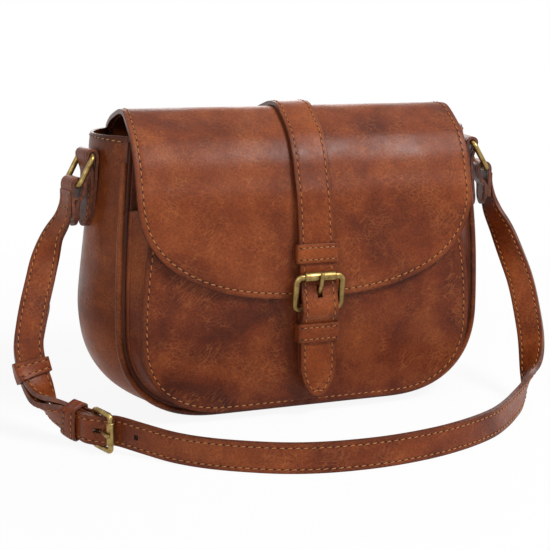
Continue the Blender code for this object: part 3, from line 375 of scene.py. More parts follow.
def leather(name, columns, rows, place, thickness, finishes, keep=None, closed=False,
            edge_of=None, thick_of=None, rounding=0.0007):
    """A piece of leather: place(column, row) gives the middle of its thickness. Its cut edge
    takes the second finish and is bevelled round."""
    form = bmesh.new()
    bmesh.ops.create_grid(form, x_segments=len(columns) - 1, y_segments=len(rows) - 1, size=1)
    layer = form.verts.layers.float.new("edge")
    weights = form.verts.layers.deform.verify()
    for corner in form.verts:
        column = columns[round((corner.co.x + 1) / 2 * (len(columns) - 1))]
        row = rows[round((corner.co.y + 1) / 2 * (len(rows) - 1))]
        corner.tag = keep is not None and not keep(column, row)
        corner.co = Vector(place(column, row))
        corner[weights][0] = thick_of(column, row) if thick_of else 1.0
        corner[layer] = edge_of(column, row) * 1000 if edge_of else 0
    gone = [face for face in form.faces if all(corner.tag for corner in face.verts)]
    bmesh.ops.delete(form, geom=gone, context="FACES")
    if closed:
        bmesh.ops.remove_doubles(form, verts=form.verts, dist=SAME_PLACE)
    form.normal_update()
    bmesh.ops.recalc_face_normals(form, faces=form.faces)
    if not edge_of:
        mark_edges(form, layer)
    thing = finished(name, form, finishes)
    cut_pieces.append(name)
    give(thing, "cut", len(cut_pieces) * 0.618 % 1)
    shell = thicken(thing, thickness)
    shell.use_even_offset = True
    if thick_of:
        shell.vertex_group = thing.vertex_groups.new(name="thickness").name
    shell.material_offset_rim = len(finishes) - 1
    soften = thing.modifiers.new("Bevelled edge", "BEVEL")
    soften.width = rounding
    soften.segments = 2
    soften.limit_method = "ANGLE"
    soften.angle_limit = math.radians(50)
    soften.use_clamp_overlap = True
    return smoothed(thing)


LEATHER = 0.0022
WAIST_HALF, RIM_HALF, RIM_HEIGHT = 0.1308, 0.1205, 0.1925
PIPING_RADIUS = 0.0024
CORNER_RUN, CORNER_RISE = 0.068, 0.0625
SEAM_DEPTH, TAPER_START, TAPER = 0.045, 0.100, 0.009
CORNER_POWER = 2.4
FRONT_RIM, BACK_RIM = 0.189, 0.186
# Painted shade: the body's leather is darkened up to 7.5 mm in from its cut edges, partly edge dye
# and partly the shade in the grooves beside the cording.
body_hide = waxed_leather("waxed_leather_body", edge_dye_and_shade=(0.75, 7.5))
# Painted shade: the front panel's copy of the leather has darker tones than the body's and is
# darkened 13 mm in from its edges, for the shade of the flap and pocket over it.
front_hide_shaded = waxed_leather("waxed_leather_front_shaded", tones=("#471b0a", "#642b12", "#7e3f1d"),
                           edge_dye_and_shade=(0.75, 13))
body_edge = painted_edge("burnished_edge_body")


class Outline:
    """A U-shaped outline: tapered sides, rounded corners and a flat base."""

    def __init__(self, waist_half, rim_half, rim, base, run, rise):
        self.waist_half, self.rim_half, self.rim = waist_half, rim_half, rim
        self.base, self.run, self.rise = base, run, rise

    def half_at(self, height):
        share = (height - self.base - self.rise) / (self.rim - self.base - self.rise)
        return self.waist_half - (self.waist_half - self.rim_half) * max(share, 0) ** 1.8

    def rows(self, top, grow=0.0):
        """Half widths and heights from the top to the corner's end, grown outwards."""
        waist = self.base + self.rise
        line = [(self.half_at(top + (waist - top) * step / 28), top + (waist - top) * step / 28)
                for step in range(28)]
        for step in range(31):
            angle = math.pi / 2 * step / 30
            across = max(math.cos(angle), 0) ** (2 / CORNER_POWER)
            down = max(math.sin(angle), 0) ** (2 / CORNER_POWER)
            line.append((self.waist_half - self.run + self.run * across, waist - self.rise * down))
        line = np.array(line)
        heading = np.gradient(line, axis=0)
        normals = np.stack([-heading[:, 1], heading[:, 0]], axis=1)
        normals /= np.linalg.norm(normals, axis=1)[:, None]
        normals[0] = (1, 0)
        normals[-1] = (0, -1)
        return line + normals * grow, normals


body = Outline(WAIST_HALF, RIM_HALF, RIM_HEIGHT, PIPING_RADIUS, CORNER_RUN, CORNER_RISE)


def front_seam(height):
    """Depth of the front seam, which draws back towards the rim."""
    share = max(height - TAPER_START, 0) / (RIM_HEIGHT - TAPER_START)
    return -SEAM_DEPTH + TAPER * share ** 2


def back_seam(height):
    return SEAM_DEPTH


def body_panel(name, rim, seam, bulge, hide):
    """A flat or softly bulging panel inside the cording."""
    line = Route(body.rows(rim, -PIPING_RADIUS * 0.5)[0], 2)

    def place(side, distance):
        half, height = line.at(distance)
        across = half * side
        swell = (1 - abs(side) ** 2.5) * math.sin(math.pi * min(height / rim, 1)) ** 0.7
        swell *= 1 + 0.3 * ripple(across, 0, height, 0.13)
        return across, seam(height) + bulge * swell, height

    sides = [2 * step / 34 - 1 for step in range(35)]
    return leather(name, sides, stations(line.length, 0.006), place, LEATHER,
                   (hide, body_edge))


link(body_panel("front_leather", FRONT_RIM, front_seam, 0.0, front_hide_shaded), "bag_body",
     ["front_panel"])
link(body_panel("back_leather", BACK_RIM, back_seam, 0.0010, body_hide), "bag_body",
     ["back_panel"])


# Gusset: one long strip that forms both sides and the base. It swells at the sides where the
# bag sags, has a stitched hem at the rim and turns in behind the cording along both seams.
GUSSET_BULGE = 0.0175
FIT = 0.0003
GUSSET_GAP = PIPING_RADIUS + FIT + LEATHER / 2
BULGES = smooth(((0, 0.80), (0.12, 0.70), (0.21, 0.74), (0.32, 0.90), (0.39, 1.0), (0.45, 0.93),
                 (0.50, 0.80), (0.55, 0.60), (0.64, 0.25), (0.72, 0.05), (0.77, 0), (1, 0)), 6)
HEM = 0.0042
TURN_SHARE, TURN_DEPTH, TURN_DROP = 0.08, 0.0026, 0.0018
SOFT_RISE, SOFT_WAVE = 0.0008, 0.085
PITCH, SLANT = 0.005, 0.14
# Tan thread, whose twisted strands show light and dark
thread, tree, shader = new_material("bonded_polyester_thread")
twist = add(tree, "TexWave", {"Vector": add(tree, "TexCoord", out="Object"), "Scale": 900.0,
                              "Distortion": 2.0}, out="Color", wave_type="BANDS")
strand = add(tree, "ValToRGB", {"Fac": twist},
             stops=[(0.0, linear("#8c5023")), (1.0, linear("#c98746"))])
feed(tree, shader, {"Base Color": strand, "Roughness": 0.55})
# Painted shade: the dark inside each pierced hole, beside its stitch
needle_hole, tree, shader = new_material("needle_hole_shade")
feed(tree, shader, {"Base Color": linear("#160804"), "Roughness": 0.9})


def both_sides(rows):
    """The left half of a U, top down, followed by its right half, bottom up."""
    left = rows * np.array((-1, 1))
    return np.vstack([left, rows[::-1]])


def inset(line, distance):
    """A flat line moved sideways, to the right of the way it runs."""
    heading = np.gradient(line, axis=0)
    normals = np.stack([heading[:, 1], -heading[:, 0]], axis=1)
    normals /= np.linalg.norm(normals, axis=1)[:, None]
    return line + normals * distance


def template(name, rings, size, finish):
    """A small egg-shaped mesh, to be copied along a seam."""
    mesh = bpy.data.meshes.new(name)
    form = bmesh.new()
    bmesh.ops.create_uvsphere(form, u_segments=8, v_segments=rings, radius=1,
                              matrix=Matrix.Diagonal((*size, 1)))
    for tile in form.faces:
        tile.material_index = finish
    form.to_mesh(mesh)
    form.free()
    return mesh


stitch_shape = template("stitch", 6, (0.34, 0.00042, 0.00040), 0)
hole_shape = template("needle_hole", 4, (0.00100, 0.00058, 0.00016), 1)


def set_down(form, shape, place, turned, sizes):
    """Adds one copy of a template mesh to a form."""
    copy = shape.copy()
    copy.transform(Matrix.Translation(Vector(place)) @ turned @ Matrix.Diagonal((*sizes, 1)))
    form.from_mesh(copy)
    bpy.data.meshes.remove(copy)


def sew(form, surface, path, half_thickness, faces, pitch, size):
    """Adds a row of stitches: surface(u, v) is the middle of the leather, path the (u, v) of the
    seam, and faces the sides that it shows on. Each stitch dips at both ends into a dark disc of
    painted shade for its needle hole."""
    step = 1e-4
    rows = []
    for u, v in path:
        middle = np.array(surface(u, v), dtype=float)
        first = np.array(surface(u + step, v)) - np.array(surface(u - step, v))
        second = np.array(surface(u, v + step)) - np.array(surface(u, v - step))
        depth = half_thickness(u, v) if callable(half_thickness) else half_thickness
        rows.append([*middle, *unit(np.cross(first, second)), depth])
    route = Route(rows, 3)
    count = max(round(route.length / pitch), 1)
    for face in faces:
        for number in range(2 * count + 1):
            here = route.at(route.length * number / (2 * count))
            normal, depth = unit(here[3:6]) * face, here[6]
            run = route.heading(route.length * number / (2 * count))
            side = unit(np.cross(normal, run))
            turned = Matrix((*zip(np.cross(side, normal), side, normal),)).to_4x4()
            if number % 2:
                turned = turned @ Matrix.Rotation(SLANT, 4, "Z")
                set_down(form, stitch_shape, here[:3] + normal * (depth + 0.00012),
                         turned, (pitch, size, size))
            else:
                set_down(form, hole_shape, here[:3] + normal * (depth - 0.00005),
                         turned, (size, size, 1))


def sewn(name, body, surface, paths, half_thickness, faces=(-1, 1), pitch=PITCH, size=1.0,
         shade_spots=()):
    """The stitches of a piece's seams, as one piece of thread, with a dark disc of painted shade
    at each spot given for a punched hole.
    """
    form = bmesh.new()
    for path in paths:
        sew(form, surface, path, half_thickness, faces, pitch, size)
    for spot in shade_spots:
        set_down(form, hole_shape, *spot)
    return link(finished(name, form, [thread, needle_hole]), body)


line, normals = body.rows(RIM_HEIGHT)
half_girth = Route(line, 2).length + WAIST_HALF - CORNER_RUN
shares = Route(line, 2).marks / half_girth
gusset_line = np.hstack([both_sides(line), both_sides(normals),
                         np.concatenate([shares, shares[::-1]])[:, None]])
gusset_route = Route(gusset_line, 2)


def gusset_swell(near, share):
    """How far the outer face stands out, from the middle of the strip to its edge."""
    edge = max(near - 0.5, 0) / 0.5
    return PIPING_RADIUS * (1 - edge ** 2) + GUSSET_BULGE * np.interp(share, *BULGES.T) * (
        1 - near ** 2)


def on_gusset(side, distance):
    """The middle of the gusset's leather; past -1 and 1 it turns in beside the cording."""
    across, height, out_x, out_z, share = gusset_route.at(distance)
    near = min(abs(side), 1)
    soft = ripple(across, SEAM_DEPTH * side, height, SOFT_WAVE) * (1 - near ** 2)
    soft *= min(np.interp(share, *BULGES.T) * 2, 1)
    out = gusset_swell(near, share) + SOFT_RISE * soft - LEATHER / 2
    front = front_seam(height) + GUSSET_GAP
    back = SEAM_DEPTH - GUSSET_GAP
    depth = front + (back - front) * (near * math.copysign(1, side) + 1) / 2
    past = abs(side) - 1
    if past > 0:
        turn = min(past / TURN_SHARE, 1) * math.pi / 2
        depth += math.copysign(math.sin(turn) * TURN_DEPTH, side)
        out -= (1 - math.cos(turn)) * TURN_DROP + max(past - TURN_SHARE, 0) * 0.03
    return across + out_x * out, depth, height + out_z * out


gusset_sides = [-1.15, -1.08, -1.055, -1.03, -1, -0.97, -0.93]
gusset_sides += [-0.88 + 1.76 * step / 30 for step in range(31)]
gusset_sides += [-side for side in gusset_sides[6::-1]]
gusset = leather("gusset_leather", gusset_sides, stations(gusset_route.length, 0.0055), on_gusset,
                 LEATHER, (body_hide, body_edge))
link(gusset, "bag_body", ["main_gusset"])
sewn("gusset_hem_stitching", "bag_body", on_gusset,
     [[(2 * step / 40 - 1, end) for step in range(1, 40)]
      for end in (HEM, gusset_route.length - HEM)], LEATHER / 2, (1, -1))


# Cording: a round cord wrapped in a strip of the same leather and caught in both body seams.
# It starts 16 mm below the rim with a closed, rounded end.
PIPING_TOP = 0.176
FAR_FROM_EDGE = 40.0
# The same hide without a stitching line, a little paler because it is stretched
cord_hide = waxed_leather("waxed_leather_cording", 0.05, ("#4a1f0c", "#743718", "#8f4c28"), 0.38)


def skin(columns, rows, place, fill=False):
    """A closed form whose corner in a column and a row is at place(column, row)."""
    form = bmesh.new()
    bmesh.ops.create_grid(form, x_segments=columns, y_segments=rows, size=1)
    for corner in form.verts:
        corner.co = Vector(place(round((corner.co.x + 1) / 2 * columns),
                                 round((corner.co.y + 1) / 2 * rows)))
    bmesh.ops.remove_doubles(form, verts=form.verts, dist=SAME_PLACE)
    if fill:
        bmesh.ops.holes_fill(form, edges=form.edges)
    bmesh.ops.recalc_face_normals(form, faces=form.faces)
    return form


def tube(name, route, radius_at, material, sides=16, pitch=0.004, side=None, flat=1.0):
    """A bar along a route, closed at both ends; `flat` widens it along `side`."""
    marks = stations(route.length, pitch, (0.0002, 0.0007, 0.0016))
    frames = []
    for mark in marks:
        run = route.heading(mark)
        side = unit(np.cross(run, (0.0, 1.0, 0.02)) if side is None
                    else side - run * np.dot(side, run))
        frames.append((route.at(mark)[:3], side, np.cross(run, side), radius_at(mark)))

    def place(column, row):
        turn = 2 * math.pi * column / sides
        middle, first, second, radius = frames[row]
        return middle + (first * math.cos(turn) * flat + second * math.sin(turn)) * radius

    thing = finished(name, skin(sides, len(marks) - 1, place, fill=True), [material])
    give(thing, "edge", FAR_FROM_EDGE)
    return thing


def dome(share):
    """The rise of a quarter circle from nought to one."""
    return math.sqrt(max(1 - (1 - max(min(share, 1), 0)) ** 2, 0))


def rounded(length, radius):
    """A bar's radius along its length, with a dome at each end."""
    return lambda mark: radius * dome(min(mark, length - mark) / radius)


for name, seam in (("front", front_seam), ("back", back_seam)):
    outline = both_sides(body.rows(PIPING_TOP)[0])
    route = Route([(across, seam(height), height) for across, height in outline], 3)
    cording = tube(name + "_cording", route, rounded(route.length, PIPING_RADIUS), cord_hide)
    link(cording, "bag_body", [name + "_piping"])


# Lining: dark brown cotton twill, sewn in as a loose inner bag that follows the leather walls.
LINING, LINING_GAP = 0.0010, 0.0006
LOOSE_RISE, LOOSE_WAVE = 0.0016, 0.06
# Matt brown cotton, nearly black inside the bag
twill, tree, shader = new_material("cotton_twill_lining")
# Ribs of the twill, about 1.2 mm apart
ribs = add(tree, "TexWave", {"Vector": millimetres(tree), "Scale": 0.26, "Distortion": 0.6,
                             "Detail": 2.0}, bands_direction="DIAGONAL")
cloth = add(tree, "ValToRGB", {"Fac": ribs},
            stops=[(0.0, linear("#1c110b")), (1.0, linear("#35241a"))])
bump = add(tree, "Bump", {"Height": ribs, "Strength": 0.5, "Distance": 0.0002})
feed(tree, shader, {"Base Color": cloth, "Roughness": 0.9, "Specular IOR Level": 0.2,
                    "Normal": bump})

line = body.rows(BACK_RIM - LEATHER, -(LEATHER + LINING / 2 + LINING_GAP))[0]
wall = Route(np.hstack([line, shares[:, None]]), 2)
margin = LEATHER / 2 + LINING / 2 + LINING_GAP
LINING_SIDES, LINING_ROWS, BASE_ROWS, SQUARENESS = 72, 46, 6, 1 / 3


def squared(turn, power):
    """A place on a circle of radius one that is drawn out towards a square."""
    return [math.copysign(abs(value) ** power, value)
            for value in (math.cos(turn), math.sin(turn))]


def on_lining(column, row):
    """A ring of the inner bag; the last rows close its base."""
    turn = 2 * math.pi * column / LINING_SIDES
    last = LINING_ROWS - BASE_ROWS
    down = row / last if row <= last else 1 + (row - last) / BASE_ROWS
    half, height, share = wall.at(wall.length * min(down, 1))
    across, side = squared(turn, SQUARENESS)
    front = front_seam(height) + margin
    depth = front + (SEAM_DEPTH - margin - front) * (side + 1) / 2
    bulge = np.interp(share, BULGES[:, 0], BULGES[:, 1])
    wave = ripple(across * 0.1, side * 0.1, height, LOOSE_WAVE)
    loose = LOOSE_RISE * wave * min(4 * (1 - down), 1, down * 4)
    swell = GUSSET_BULGE * bulge * (1 - side ** 2) if abs(side) < 1 else 0
    close = 1 - max(down - 1, 0)
    return ((half + swell) * across - loose * across) * close, depth * close, height + LINING / 2


inner_bag = finished("lining_twill", skin(LINING_SIDES, LINING_ROWS, on_lining), [twill])
thicken(inner_bag, LINING)
link(inner_bag, "bag_body", ["lining"])


# Front pocket: a curved face sewn on a shallow gusset, with its painted edge showing all round
# and a line of stitching just inside it.
POCKET_TOP, POCKET_REACH, POCKET_HALF = 0.145, 0.0625, 0.1188
POCKET_SEAM, POCKET_FLARE, POCKET_SAG, POCKET_FOOT = 0.0034, 0.0015, 0.0004, 0.030
WALL_LEATHER, WALL_FOLD, WALL_INSET, WALL_SHOW = 0.0018, 0.0009, 0.0046, 0.0012
pocket = Outline(POCKET_HALF, 0.1075, POCKET_TOP, 0.0070, 0.060, 0.054)
# Painted shade: the pocket's tones are darker than the flap's, for the shade under the flap.
pocket_hide_shaded = waxed_leather("waxed_leather_pocket_shaded", POCKET_SEAM,
                            ("#45190a", "#682c13", "#82401d"), 0.40)
FLAP_HALF, FLAP_THICKNESS = 0.119, 0.0032
FLAP_REACH = POCKET_REACH + 0.0006 + FLAP_THICKNESS
BACK_FACE = SEAM_DEPTH + LEATHER / 2 + FIT
HINGE_DEPTH, HINGE_HEIGHT = BACK_FACE + FLAP_THICKNESS, 0.187
CREST_RISE, HEM_HEIGHT, FLAP_CORNER = 0.0215, 0.083, 0.072
FLAP_SHARES = ((0, 0), (0.0005, 0.08), (0.030, 0.33), (0.162, 0.65), (0.342, 0.88), (0.471, 1.0),
               (0.574, 0.977), (0.643, 0.79), (0.720, 0.51), (0.789, 0.23), (0.832, -0.014),
               (0.880, -0.106), (0.914, -0.225), (0.948, -0.346), (0.970, -0.548),
               (0.983, -0.663), (0.996, -0.837), (1, -1))
rows = [(HINGE_DEPTH - back * (HINGE_DEPTH + FLAP_REACH),
         HINGE_HEIGHT + rise * (CREST_RISE if rise > 0 else HINGE_HEIGHT - HEM_HEIGHT))
        for back, rise in FLAP_SHARES]
profile = Route(smooth(rows, 6), 2)
front_rows = profile.rows[(profile.rows[:, 1] < HINGE_HEIGHT) & (profile.rows[:, 0] < 0)][::-1]


def flap_depth(height):
    """Depth of the flap's outer face on its front, which the pocket's face follows."""
    return np.interp(height, front_rows[:, 1], front_rows[:, 0])


def pocket_face(height):
    """Depth of the pocket's outer face, just behind the flap."""
    return -POCKET_REACH + flap_depth(max(height, HEM_HEIGHT)) + FLAP_REACH


def on_pocket(across, height):
    """The middle of the pocket's face, which curves back to its sides and is a little full."""
    share = across / pocket.half_at(height)
    flare = POCKET_FLARE * min(share ** 2, 1)
    full = POCKET_SAG * (1 + ripple(across, 0, height, 0.09)) * max(1 - share ** 2, 0)
    low = max(POCKET_FOOT - height, 0) / POCKET_FOOT
    return across, pocket_face(height) + LEATHER / 2 + flare - full * (1 - low ** 2), height


pocket_line = Route(pocket.rows(POCKET_TOP)[0], 2)


def pocket_place(side, distance):
    half, height = pocket_line.at(distance)
    return on_pocket(half * side, height)


sides = [2 * step / 32 - 1 for step in range(1, 32)]
sides = sorted(sides + [side * way for side in (0.95, 0.97, 0.984, 0.994, 1) for way in (-1, 1)])
link(leather("pocket_leather", sides, stations(pocket_line.length, 0.005), pocket_place, LEATHER,
             (pocket_hide_shaded, body_edge)), "bag_body", ["pocket_front"])
path = inset(both_sides(pocket.rows(POCKET_TOP)[0]), -POCKET_SEAM)
sewn("pocket_stitching", "bag_body", on_pocket, [path[1:-1]], LEATHER / 2)

inner = Route(both_sides(body.rows(POCKET_TOP, -WALL_INSET)[0]), 2)
outer = Route(both_sides(pocket.rows(POCKET_TOP, -WALL_SHOW - LEATHER / 2)[0]), 2)


def on_pocket_wall(deep, share):
    """The shallow gusset between the bag's front and the pocket's face."""
    start = inner.at(inner.length * share)
    end = outer.at(outer.length * share)
    across, height = start * (1 - deep) + end * deep
    back = front_seam(height) - LEATHER / 2
    face = pocket_face(height) + LEATHER * 1.2 + POCKET_FLARE
    fold = WALL_FOLD * math.sin(math.pi * deep)
    return across * (1 - fold), back + (face - back) * deep, height + fold


link(leather("pocket_wall", [step / 6 for step in range(7)], [step / 150 for step in range(151)],
             on_pocket_wall, WALL_LEATHER, (pocket_hide_shaded, body_edge)), "bag_body",
     ["pocket_gusset"])


# Flap: one 3.2 mm piece of leather, edge-painted and sewn round. It is stitched down on the
# back as a yoke, bends over the crest and covers the upper pocket.
YOKE_DROP, YOKE_CORNER = 0.036, 0.012
FLAP_SEAM, FLAP_SAG, SAG_FROM, SAG_OVER = 0.0038, 0.00022, 0.09, 0.06
flap_hide = waxed_leather("waxed_leather_flap", FLAP_SEAM, ("#572310", "#753518", "#8d4825"), 0.42)
flap_edge = painted_edge("burnished_edge_flap")


def arc(centre, radius, start, end, steps):
    angles = np.linspace(start, end, steps + 1)
    return [(centre[0] + radius * math.cos(angle), centre[1] + radius * math.sin(angle))
            for angle in angles]


def flap_outward(distance):
    """The way off the flap's outer face, in depth and height."""
    along = profile.heading(distance)
    return np.array((along[1], -along[0]))


def distance_at(height):
    """How far along the flap's outer face its front reaches this height."""
    front = profile.rows[:, 0][::-1] < 0
    return np.interp(height, profile.rows[:, 1][::-1][front], profile.marks[::-1][front])


def on_flap(across, distance):
    """The middle of the flap's leather; the yoke has negative distances."""
    if distance < 0:
        depth, height = HINGE_DEPTH, HINGE_HEIGHT + distance
        outward = np.array((1.0, 0.0))
    else:
        depth, height = profile.at(distance)
        outward = flap_outward(distance)
    front = min(max(distance - SAG_FROM, 0) / SAG_OVER, 1)
    side = min(abs(across) / FLAP_HALF, 1)
    sunk = FLAP_SAG * (1 + ripple(across, 0, distance, 0.085)) * front * (1 - side ** 4)
    depth, height = np.array((depth, height)) - outward * (FLAP_THICKNESS / 2 + sunk)
    return across, depth, height


hip = distance_at(HEM_HEIGHT + FLAP_CORNER)
hem_run = profile.length - hip


def flap_place(side, distance):
    """The flap narrows to the yoke's round corners behind and to its curved hem in front."""
    if distance <= hip:
        reach = FLAP_HALF - YOKE_CORNER * (1 - dome((distance + YOKE_DROP) / YOKE_CORNER))
        return on_flap(side * reach, distance)
    drop = (distance - hip) / hem_run
    norm = (abs(side) ** CORNER_POWER + drop ** CORNER_POWER) ** (1 / CORNER_POWER)
    reach = max(abs(side), drop) / norm
    return on_flap(side * reach * FLAP_HALF, hip + hem_run * drop * reach)


sides = [mark / FLAP_HALF - 1 for mark in stations(2 * FLAP_HALF, 0.0055)]
rows = [mark - YOKE_DROP for mark in stations(YOKE_DROP + profile.length, 0.0045)]
flap_leather = leather("flap_leather", sides, rows, flap_place, FLAP_THICKNESS,
                       (flap_hide, flap_edge), rounding=0.0010)
link(flap_leather, None, ["flap_panel", "flap_yoke"])
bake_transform(flap_leather)

outline = [(0.0, -YOKE_DROP), (FLAP_HALF - YOKE_CORNER - 0.001, -YOKE_DROP)]
outline += arc((FLAP_HALF - YOKE_CORNER, YOKE_CORNER - YOKE_DROP), YOKE_CORNER, -math.pi / 2, 0, 8)
outline += [(FLAP_HALF, hip * step / 30) for step in range(31)]
for step in range(1, 41):
    angle = math.pi / 2 * step / 40
    outline.append((FLAP_HALF * max(math.cos(angle), 0) ** (2 / CORNER_POWER),
                    hip + hem_run * math.sin(angle) ** (2 / CORNER_POWER)))
outline = inset(np.array(outline), -FLAP_SEAM)
outline[-1][0] = outline[0][0] = 0
outline = np.vstack([outline, outline[-2::-1] * (-1, 1)])
flap_thread = sewn("flap_stitching", None, on_flap, [outline], FLAP_THICKNESS / 2)
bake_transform(flap_thread)


# Closing strap: a 25 mm strap sewn down over the flap, pushed through a loop and the roller
# buckle, then through the loop on the chape. A magnet behind the chape does the work.
CENTRE_WIDTH, CENTRE_THICKNESS = 0.025, 0.0028
LOOP_LEATHER, LOOP_SLACK, LOOP_PLAY, LOOP_CORNER = 0.0013, 0.0010, 0.0006, 0.0019
LOOP_PITCH, LOOP_STITCH = 0.0042, 0.85
KEEPER_LENGTH, FLAP_KEEPER_HEIGHT, CHAPE_KEEPER_HEIGHT = 0.0133, 0.1138, 0.0605
CHAPE_THICKNESS, CHAPE_END, CHAPE_RETURN = 0.0016, 0.0235, 0.0045
SNAP_THICKNESS, SNAP_PARTING, TAIL_GAP = 0.0014, 0.0004, 0.0026
BUCKLE_HALF, BUCKLE_WIRE, BUCKLE_CORNER = 0.0163, 0.0022, 0.004
BUCKLE_ROLLER, BUCKLE_PRONG, ROLLER_LENGTH = 0.0032, 0.0012, 0.022
HEEL_HEIGHT, ROLLER_HEIGHT, TIP_HEIGHT, TIP_LENGTH = 0.0766, 0.0994, 0.0155, 0.022
STRAP_SEAM = 0.0027
strap_hide = waxed_leather("waxed_leather_straps", STRAP_SEAM, ("#5a2410", "#7a3717", "#934a22"),
                           0.40)
strap_edge = painted_edge("burnished_edge_straps")
CREASE_HEIGHT, CREASE_SPREAD, CREASE_DEPTH, STRAP_START = 0.1035, 0.004, 0.00022, 0.010
TIP_SHARES = smooth(((0, 0.05), (0.02, 0.22), (0.08, 0.42), (0.25, 0.63), (0.5, 0.84),
                     (0.8, 0.98), (1, 1)), 5)

socket_front = -POCKET_REACH - FIT - SNAP_THICKNESS
stud_front = socket_front - SNAP_PARTING - SNAP_THICKNESS
chape_depth = stud_front - FIT - CHAPE_THICKNESS / 2
heel_depth = chape_depth - CHAPE_THICKNESS / 2 - FIT - BUCKLE_WIRE
half_strap = CENTRE_THICKNESS / 2
over_heel = heel_depth - BUCKLE_WIRE - 2 * FIT - 2 * BUCKLE_PRONG - half_strap
standoff = LOOP_LEATHER + 2 * LOOP_PLAY + half_strap
under_roller = -FLAP_REACH - standoff
roller_depth = under_roller - half_strap - FIT - BUCKLE_ROLLER
tail_depth = chape_depth - CHAPE_THICKNESS / 2 - TAIL_GAP - half_strap
keeper_distance = distance_at(FLAP_KEEPER_HEIGHT)
lifted = distance_at(FLAP_KEEPER_HEIGHT + KEEPER_LENGTH)
close = half_strap + 2 * FIT
points = []
for step in range(25):
    distance = STRAP_START + (lifted - STRAP_START) * step / 24
    share = max(step / 24 - 0.6, 0) / 0.4
    gap = close + (standoff - close) * share ** 2
    points.append(profile.at(distance) + flap_outward(distance) * gap)
points.append(profile.at(keeper_distance) + flap_outward(keeper_distance) * standoff)
drop = HEEL_HEIGHT - CHAPE_KEEPER_HEIGHT - KEEPER_LENGTH / 2
points += [(under_roller, ROLLER_HEIGHT + BUCKLE_ROLLER), (under_roller, ROLLER_HEIGHT),
           ((under_roller + over_heel) / 2, (ROLLER_HEIGHT + HEEL_HEIGHT) / 2),
           (over_heel, HEEL_HEIGHT), ((over_heel + tail_depth) / 2, HEEL_HEIGHT - drop * 0.62),
           (tail_depth, HEEL_HEIGHT - drop * 1.1), (tail_depth, (HEEL_HEIGHT + TIP_HEIGHT) / 2),
           (tail_depth, TIP_HEIGHT)]
centre = Route(smooth(points, 6), 2)
heights = centre.rows[:, 1][::-1]
forward = centre.rows[:, 0][::-1] < 0
CROSSING = np.interp((ROLLER_HEIGHT + HEEL_HEIGHT) / 2, heights[forward],
                     centre.marks[::-1][forward])


def on_centre(across, distance):
    """The middle of the closing strap, creased where it is pushed through the buckle."""
    depth, height = centre.at(distance)
    crease = math.exp(-((height - CREASE_HEIGHT) / CREASE_SPREAD) ** 2) if depth < 0 else 0
    depth -= CREASE_DEPTH * crease * math.sin(1400 * height + 160 * across)
    return across, depth, height


def tip_share(near, length):
    """Share of the half width, this far from a pointed end."""
    return np.interp(near / length, TIP_SHARES[:, 0], TIP_SHARES[:, 1])


def centre_place(across, distance):
    return on_centre(across * tip_share(centre.length - distance, TIP_LENGTH), distance)


def slotted(width, pitch, rows, slots, half_width, clear):
    """Columns and rows of a strap that meet the borders of its slots, and what to keep."""
    columns = [mark - width / 2 for mark in stations(width, pitch)]
    columns = [column for column in columns if abs(column) > half_width + SLOT_MARGIN]
    ends = [end for slot in slots for end in slot]
    rows = [row for row in rows if min(abs(row - end) for end in ends) > clear]

    def keep(across, row):
        return abs(across) > half_width + JUST_PAST or not any(
            start - JUST_PAST < row < end + JUST_PAST for start, end in slots)

    return sorted([*columns, -half_width, 0, half_width]), sorted(rows + ends), keep


HOLE_HALF_WIDTH, HOLE_START, HOLE_END = 0.0018, 0.0052, 0.0036
SLOT_MARGIN, JUST_PAST = 0.0006, 1e-5
THIN_ENDS = (0.0004, 0.001, 0.002, 0.0034)
half = CENTRE_WIDTH / 2
columns, rows, keep = slotted(CENTRE_WIDTH, 0.0036, stations(centre.length, 0.003, THIN_ENDS),
                              [(CROSSING - HOLE_START, CROSSING + HOLE_END)], HOLE_HALF_WIDTH,
                              0.0012)
link(leather("closing_strap_leather", columns, rows, centre_place, CENTRE_THICKNESS,
             (strap_hide, strap_edge), keep=keep,
             edge_of=lambda across, distance: min(distance, (half - abs(across)) * tip_share(
                 centre.length - distance, TIP_LENGTH))),
     "flap", ["centre_strap"])
outline = [(0, 0.0), (half, 0.0)] + [(half, 0.004 + (centre.length - TIP_LENGTH) * step / 60)
                                     for step in range(60)]
outline += [(half * tip_share(TIP_LENGTH * (1 - step / 24), TIP_LENGTH),
             centre.length - TIP_LENGTH * (1 - step / 24)) for step in range(1, 24)]
seam = inset(np.array(outline), -STRAP_SEAM)
seam = np.array([point for point in seam[2:] if point[0] > 0.0003 and point[1] > STRAP_SEAM])
seam = np.vstack([[(0, STRAP_SEAM), (half - STRAP_SEAM, STRAP_SEAM)], seam,
                  [(0, centre.length - 0.0052)]])
seam = np.vstack([seam, seam[-2::-1] * (-1, 1)])
sewn("closing_strap_stitching", "flap", on_centre, [seam], half_strap, size=0.9)


def rounded_box(half_wide, half_deep, corner, steps):
    """The outline of a rectangle with round corners."""
    corners = ((1, 1), (-1, 1), (-1, -1), (1, -1))
    return [point for quarter, (wide, deep) in enumerate(corners)
            for point in arc((wide * (half_wide - corner), deep * (half_deep - corner)), corner,
                             math.pi / 2 * quarter, math.pi / 2 * (quarter + 1), steps)]


